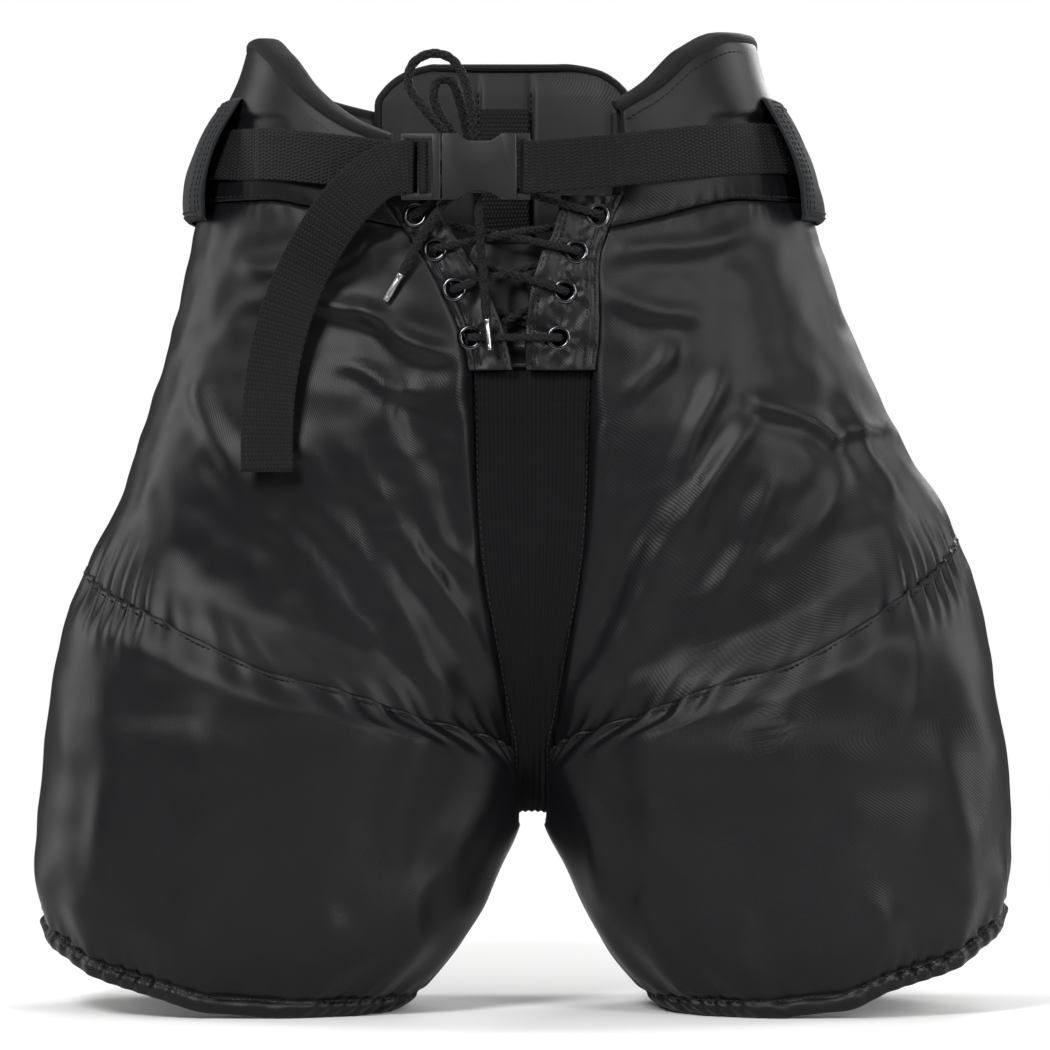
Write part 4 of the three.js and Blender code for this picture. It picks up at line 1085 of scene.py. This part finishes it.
def lathe_mesh(profile, centre, axis, sides=40, closed=True):
    """A profile of (radius, height) turned about an axis through a point."""
    axis = unit(np.asarray(axis, float))
    side = unit(np.cross(axis, UP if abs(axis[2]) < 0.9 else np.array([1.0, 0, 0])))
    other = np.cross(axis, side)
    angles = np.arange(sides) * 2 * math.pi / sides
    radial = np.cos(angles)[:, None] * side + np.sin(angles)[:, None] * other
    profile = np.asarray(profile, float)
    rings = centre + radial[:, None] * profile[None, :, :1] + axis * profile[None, :, 1:2]
    k = np.arange(sides * len(profile)).reshape(sides, -1)
    after, upper = np.roll(k, -1, axis=0), np.roll(k, -1, axis=1)
    upper_after = np.roll(after, -1, axis=1)
    faces = np.stack([k, after, upper_after, upper], -1)
    if not closed:
        faces = faces[:, :-1]
    faces = faces.reshape(-1, 4).tolist()
    if not closed:
        faces += [k[:, 0][::-1].tolist(), k[:, -1].tolist()]
    uvs = np.stack(np.broadcast_arrays(angles[:, None] * 5, profile[None, :, 1]), -1)
    return rings.reshape(-1, 3), faces, uvs.reshape(-1, 2) * MM


EYELET_PROFILE = ((3.7, -3.4), (4.6, -3.7), (5.7, -3.2), (5.6, -2.6), (4.7, -2.5), (4.65, 0.6),
                  (5.6, 0.75), (6.0, 1.2), (5.9, 1.8), (5.3, 2.2), (4.5, 2.2), (3.9, 1.8), (3.65, 1.1))


def add_eyelets(name):
    for i, (x, z) in enumerate(EYELETS[name]):
        centre = middle_point(x, z, 0, -1)
        mesh = lathe_mesh(EYELET_PROFILE, centre, front_normal(x, z), 48)
        make_object(f"{name}_eyelet_ring_{i + 1}", *mesh, "eyelet", "waist", "eyelet_metal",
                    [f"{name}_eyelet_{i + 1}"])


# ------------------------------------------------------------------ belt, tunnels and tail

TUNNEL_FROM, TUNNEL_TO = math.radians(153), math.radians(236)


def tunnel_grid(sign, lift):
    """The belt tunnel's cloth, with rounded corners, lifted over the belt."""
    s = np.linspace(0, 1, 110)[None]
    t = np.linspace(0, 1, 56)[:, None]
    turn = ((np.abs(t - 0.5) - 0.36) / 0.14).clip(0, 1)
    corner = 0.055 * (1 - np.sqrt(np.clip(1 - turn ** 2, 0, 1)))
    s = lerp(corner, 1 - corner * 0.6, s)
    angle = lerp(TUNNEL_FROM, TUNNEL_TO, s)
    z = np.broadcast_to(lerp(391, 451, t), angle.shape)
    bulge = np.sin(math.pi * np.clip(t, 0.0, 1.0)) ** 0.4
    offset = 2.9 + lift + (6.6 + 3 * (1 - s) ** 3) * bulge * (1 - 0.1 * np.sin(s * 8))
    return at_angle(HIP, sign, angle, z, offset)


def add_tunnel(name, sign):
    """The cloth tunnel that the belt runs through on one hip."""
    outer, inner = tunnel_grid(sign, 1.8), tunnel_grid(sign, 0.2)
    outer = outer + lumps(outer, 0.04, 1.6)[..., None] * grid_normals(outer) * sign
    mesh = sheet_mesh(outer[:, ::sign], inner[:, ::sign])
    piece = make_object(f"{name}_tunnel_cloth", *mesh, "canvas", "waist", "canvas",
                        [f"{name}_belt_tunnel"])
    lines = []
    for column in (3, 6, 11):
        lines.append((outer[4:-4, column], outer[4:-4, column] - inner[4:-4, column]))
    for row in (2, 4, -5, -3):
        lines.append((outer[row, 4:-4], outer[row, 4:-4] - inner[row, 4:-4]))
    add_stitches(f"{name}_tunnel_stitches", lines, "waist", "canvas", pitch=3.0, length=2.1, lift=0.25)


BELT = ellipse(WEBBING_WIDTH, WEBBING_THICKNESS, 24, 6)
BELT_LIFT = 4.6
BUCKLE_Z, BUCKLE_Y = 414.5, -99.5


def belt_station(sign, degrees):
    """A point of the belt round the waist, and the direction across the webbing there."""
    to_side = np.clip((degrees - 153) / 27, 0, 1)
    z = lerp(426 if sign > 0 else 423, 424, to_side)
    levels = np.array([z, z + WEBBING_WIDTH / 2, z - WEBBING_WIDTH / 2])
    middle, high, low = at_angle(HIP, sign, math.radians(degrees), levels, BELT_LIFT)
    return middle, unit(high - low)


def strap(name, path, widths, profile, body, node):
    """Belt webbing along a path."""
    piece = make_object(name, *sweep_mesh(path, widths, profile), "webbing", body, "webbing", [node])
    return piece


def add_fixed_belt():
    around_bar = [(15, -96.6, BUCKLE_Z), (0.6, -96.6, BUCKLE_Z), (-0.9, -97.6, BUCKLE_Z),
                  (-1.2, BUCKLE_Y, BUCKLE_Z), (-0.9, -101.4, BUCKLE_Z), (0.6, -102.4, BUCKLE_Z),
                  (5, -102.3, BUCKLE_Z), (16, -101.2, 415.3)]
    front = [(36, -99.5, 417), (66, -89, 420.5), (95, -72.5, 424)]
    stations = [(p, UP) for p in around_bar + front]
    stations += [belt_station(1, d) for d in range(153, 270, 8)]
    stations += [belt_station(-1, d) for d in range(265, 150, -8)]
    stations += [(p, UP) for p in ((-134, -60.5, 422.4), (-124, -68, 422.4), (-112, -75.5, 421))]
    path, widths = resample_pair(*zip(*stations), 2.0)
    strap("belt_webbing_fixed", path, widths, BELT, "waist", "belt")


def add_moving_belt():
    """The end that the buckle's plug pulls along; it starts inside the fixed length."""
    under = [(-131, -63.7, 422.3), (-120.5, -71.5, 422), (-104, -81.4, 420), (-86, -89.5, 417.8),
             (-70, -95, 415.6)]
    around_bar = [(-61, -96.6, BUCKLE_Z), (-49, -96.6, BUCKLE_Z), (-47.4, -97.6, BUCKLE_Z),
                  (-47, BUCKLE_Y, BUCKLE_Z), (-47.4, -101.4, BUCKLE_Z), (-49, -102.4, BUCKLE_Z),
                  (-51, -102.4, BUCKLE_Z)]
    path = resample(under + around_bar, 2.0)
    profile = ellipse(24.8, WEBBING_THICKNESS, 24, 6)
    piece = strap("belt_webbing_moving", path, held_sideways(path, UP), profile, None, "belt_end")
    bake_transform(piece)


# The tail's middle line and, at each point, the direction across its webbing.
TAIL = (((-53.6, -101.4, 414.5), (0, 0, -1)), ((-57.7, -102.4, 414.5), (0, 0, -1)),
        ((-64, -103, 413.5), (0.12, 0, -1)), ((-72, -105, 409.5), (0.35, 0.05, -0.95)),
        ((-81, -106, 401.5), (0.5, 0.1, -0.85)), ((-90, -104, 391.5), (0.62, 0.15, -0.75)),
        ((-98, -100.5, 380), (0.72, 0.18, -0.65)), ((-106, -95.5, 366), (0.82, 0.15, -0.5)),
        ((-113, -94, 350), (0.9, 0.05, -0.4)), ((-119, -93.5, 330), (0.95, -0.05, -0.25)),
        ((-123, -94, 308), (1, -0.08, -0.15)), ((-124.5, -95, 286), (1, -0.05, 0)),
        ((-124.5, -96, 267), (1, 0, 0)))


def add_tail():
    path, widths = resample_pair(*zip(*TAIL), 1.8)
    strap("belt_webbing_tail", path, widths, BELT, "belt_tail", "belt_tail")


# ------------------------------------------------------------------ lace

LACE = 4.5  # the lace's width in the bow
LACING = 3.7  # and where it is pulled tight
KNOT = np.array([-27.0, -88.0, 411.0])
FRONT, BEHIND = 3.6, -5.4  # how far the lace lies from the shell


def lace_point(x, z, lift):
    """A point of the lace, lifted off the front of the hips."""
    return middle_point(x, z, 0, -1) + front_normal(x, z) * lift


def add_lacing():
    """The lace through the eyelets, from one end of the bow to the other."""
    l1, l2, l3, l4 = EYELETS["left"]
    r1, r2, r3, r4 = EYELETS["right"]
    knot = (KNOT[0], KNOT[2])

    def through(spot, outwards):
        levels = (BEHIND, 0, FRONT) if outwards else (FRONT, 0, BEHIND)
        return [lace_point(*spot, lift) for lift in levels]

    def between(a, b, t, lift):
        return lace_point(lerp(a[0], b[0], t), lerp(a[1], b[1], t), lift)

    points = [
        KNOT + (9, 1, -2), between(l1, knot, 0.45, FRONT + 1), *through(l1, True)[::-1],
        between(l1, r2, 0.3, BEHIND), between(l1, r2, 0.52, 2.2), between(l1, r2, 0.74, FRONT),
        *through(r2, False), between(r2, l3, 0.3, BEHIND), between(r2, l3, 0.6, 0.6),
        between(r2, l3, 0.8, FRONT), *through(l3, False), between(l3, r4, 0.5, BEHIND),
        *through(r4, True), between(r4, l4, 0.35, FRONT), between(r4, l4, 0.65, FRONT),
        *through(l4, False), between(l4, r3, 0.5, BEHIND - 4.4), *through(r3, True),
        between(r3, l2, 0.25, FRONT), between(r3, l2, 0.5, -3), between(r3, l2, 0.75, BEHIND - 1),
        *through(l2, True), between(l2, r1, 0.3, FRONT), between(l2, r1, 0.52, -2.4),
        between(l2, r1, 0.76, BEHIND), *through(r1, True), between(r1, knot, 0.35, FRONT + 1),
        KNOT + (-9, 1, -3),
    ]
    mesh, _ = braid_mesh(points, LACING, 0.55)
    make_object("lacing_braid", *mesh, "lace", "waist", "lace", ["lacing"])


def braid_mesh(points, diameter, step=0.45):
    """A braided cord: its surface carries the raised strands of two crossing sets."""
    path = resample(points, step)
    sides = 24
    angles = np.arange(sides)[None] * 2 * math.pi / sides
    tube, faces, uvs = sweep_mesh(path, transport(path), ellipse(diameter, diameter, sides))
    turn = 2 * math.pi * arc_lengths(path)[:, None] / (diameter * 1.25)
    strands = np.maximum(np.cos(4 * angles + turn), np.cos(4 * angles - turn))
    lift = 0.5 * (strands - 0.8)
    rings = tube.reshape(len(path), sides, 3)
    out = unit(rings - path[:, None])
    rings = rings + out * lift[..., None]
    return (rings.reshape(-1, 3), faces, uvs), path


LOOPS = {
    "outer": ((-31, -89, 418.5), (-38, -89.5, 431), (-49, -89, 444), (-56, -88, 455), (-54, -87, 465),
              (-45.5, -87, 470), (-36, -88, 468), (-29.5, -89, 459), (-26, -89.5, 445),
              (-24.5, -89.5, 431), (-24, -89, 419)),
    "inner": ((-30, -82.5, 418.5), (-34.5, -81.5, 431), (-41, -81, 441), (-44, -80.5, 450),
              (-41.5, -80, 457.5), (-35.5, -80.5, 457), (-31.5, -81.5, 448), (-28, -82.5, 433),
              (-25.5, -83, 419)),
}
LACE_ENDS = {
    "short": ((-32.5, -92.4, 404.2), (-36, -93, 400), (-40, -93.2, 395.5), (-45.5, -92.6, 388),
              (-51, -91.6, 378.5), (-56, -91, 369), (-59.5, -90.6, 363)),
    "long": ((-23, -92.4, 403.4), (-22, -92.9, 398), (-21.8, -94, 388), (-21, -94.4, 375),
             (-19.6, -95.2, 362), (-18.8, -96.2, 349), (-18, -97, 341)),
}
KNOT_TURNS = (  # tilt and radii of each turn of the lace round the knot
    (0.5, (6.6, 3.4)),
    (-0.9, (5.8, 3.6)),
    (1.57, (4.6, 3.2)),
)
AGLET_PROFILE = ((0.01, -0.8), (1.9, -0.8), (1.75, 0.6), (1.5, 1.6), (1.35, 2.2), (1.5, 2.9),
                 (1.5, 11.4), (1.35, 12.0), (1.5, 12.6), (1.45, 14.2), (1.2, 14.8), (0.01, 15.0))


def add_knot():
    """The knot of the bow: turns of lace round one another."""
    angles = np.linspace(0, 2 * math.pi, 60, endpoint=False)
    for i, (tilt, radii) in enumerate(KNOT_TURNS):
        ring = np.stack([np.cos(angles) * radii[0], np.sin(angles) * radii[1],
                         0.4 * np.sin(angles * 2)], -1)
        cos, sin = math.cos(tilt), math.sin(tilt)
        turn = np.array([[cos, 0, -sin], [0, 1, 0], [sin, 0, cos]])
        widths = held_sideways(ring, (0, 0.3, 1)) @ turn.T
        mesh = sweep_mesh(ring @ turn.T + KNOT, widths, ellipse(LACE, LACE * 0.9, 16), True)
        nodes = ["lace_knot"] if i == 0 else ()
        make_object(f"bow_knot_turn_{i + 1}", *mesh, "lace", "waist", "lace", nodes)


def add_aglet(name, points):
    """The metal tip on the last stretch of a lace end."""
    direction = unit(np.subtract(points[-1], points[-2]))
    tip = np.asarray(points[-1]) + direction * 0.4
    mesh = lathe_mesh(AGLET_PROFILE, tip, direction, 32, False)
    return make_object(f"bow_aglet_{name}", *mesh, "aglet", "waist", "aglet_metal", [f"aglet_{name}"])


def add_cord(name, points, node, aglet=None, **settings):
    """A free length of lace, and its aglet if it has one."""
    mesh, path = braid_mesh(points, LACE)
    piece = make_object(name, *mesh, "lace", "waist", "lace", [node])
    if aglet:
        settings["with_pieces"] = [add_aglet(aglet, points)]


def add_bow():
    add_knot()
    for name, points in LOOPS.items():
        add_cord(f"bow_loop_{name}", points, f"lace_loop_{name}", far_end="object", lay="taut")
    for name, points in LACE_ENDS.items():
        add_cord(f"bow_end_{name}", points, f"lace_end_{name}", name, far_end="fitting", lay="hanging")


# ------------------------------------------------------------------ finishes of the frame's own pieces

NODE_FINISHES = {"foam": "foam", "cap": "guard", "plate": "guard", "buckle": "buckle"}
BUCKLE_PIECES = (("buckle_socket", "waist"), ("buckle_plug", "buckle_plug"),
                 ("buckle_prong_upper", "prong_upper"), ("buckle_prong_lower", "prong_lower"))


BUCKLE_EDGE = 0.0007
THUMB_BAR = ((0.01, 0), (14.5, 0), (14.5, 12), (0.01, 12))


def thumb_cutters():
    """Two round bars that scoop the socket's front and back walls over its side windows."""
    bars = []
    for direction in (1, -1):
        centre = np.array([-21.5, BUCKLE_Y - 6, BUCKLE_Z + direction * 26])
        bars.append(lathe_mesh(THUMB_BAR, centre, (0, 1, 0), 64, False))
    points, faces, _ = joined(bars)
    mesh = bpy.data.meshes.new("thumb_cutters")
    mesh.from_pydata(framed(points), [], faces)
    fix_normals(mesh)
    return link("thumb_cutters", mesh)


def scooped(source):
    """A copy of the socket's mesh with the thumb scoops cut into it."""
    cutter = thumb_cutters()
    copy = link("socket_copy", source.copy())
    cut = copy.modifiers.new("cut", "BOOLEAN")
    cut.operation, cut.solver, cut.object = "DIFFERENCE", "EXACT", cutter
    evaluated = copy.evaluated_get(bpy.context.evaluated_depsgraph_get())
    mesh = bpy.data.meshes.new_from_object(evaluated)
    bpy.data.objects.remove(copy)
    bpy.data.objects.remove(cutter)
    return mesh


def add_buckle(name, body):
    """The buckle's own shape with rounded, moulded edges."""
    work = bmesh.new()
    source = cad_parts[name].data
    work.from_mesh(scooped(source) if name == "buckle_socket" else source)
    bmesh.ops.remove_doubles(work, verts=work.verts, dist=1e-6)
    bmesh.ops.dissolve_limit(work, angle_limit=0.03, verts=work.verts, edges=work.edges)
    sharp = [e for e in work.edges if len(e.link_faces) == 2 and e.calc_face_angle() > 0.6]
    bmesh.ops.bevel(work, geom=sharp, offset=BUCKLE_EDGE, segments=3, profile=0.6, affect="EDGES",
                    clamp_overlap=True)
    mesh = bpy.data.meshes.new(f"{name}_moulded")
    work.to_mesh(mesh)
    work.free()
    mesh.materials.clear()
    mesh.materials.append(MATERIALS["buckle"])
    mesh.shade_smooth()
    piece = link(f"{name}_moulded", mesh)
    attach(piece, body)
    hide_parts(name)


def finish_frame_nodes():
    """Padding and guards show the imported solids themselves, so they only get a material."""
    for name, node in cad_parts.items():
        for word, finish in NODE_FINISHES.items():
            if word in name:
                node.data.materials.clear()
                node.data.materials.append(MATERIALS[finish])


add_camera()
add_bow()
add_lacing()
for side_name, side_sign in SIDES:
    add_hip_panel(side_name, side_sign, "hip_panel", 0.0, 0.5)
    add_hip_panel(side_name, side_sign, "seat_panel", 0.5, 1.0)
    add_waistband(side_name, side_sign)
    add_hip_lining(side_name, side_sign)
    add_thigh(side_name, side_sign)
    add_placket(side_name, side_sign)
    add_eyelets(side_name)
    add_tunnel(side_name, side_sign)
add_gusset()
add_tongue()
add_back_pad()
add_hanger_loop()
add_fixed_belt()
add_moving_belt()
add_tail()
for piece_name, body_name in BUCKLE_PIECES:
    add_buckle(piece_name, body_name)
finish_frame_nodes()
add_floor()
add_world()
for light_facts in LIGHTS:
    add_area(*light_facts)
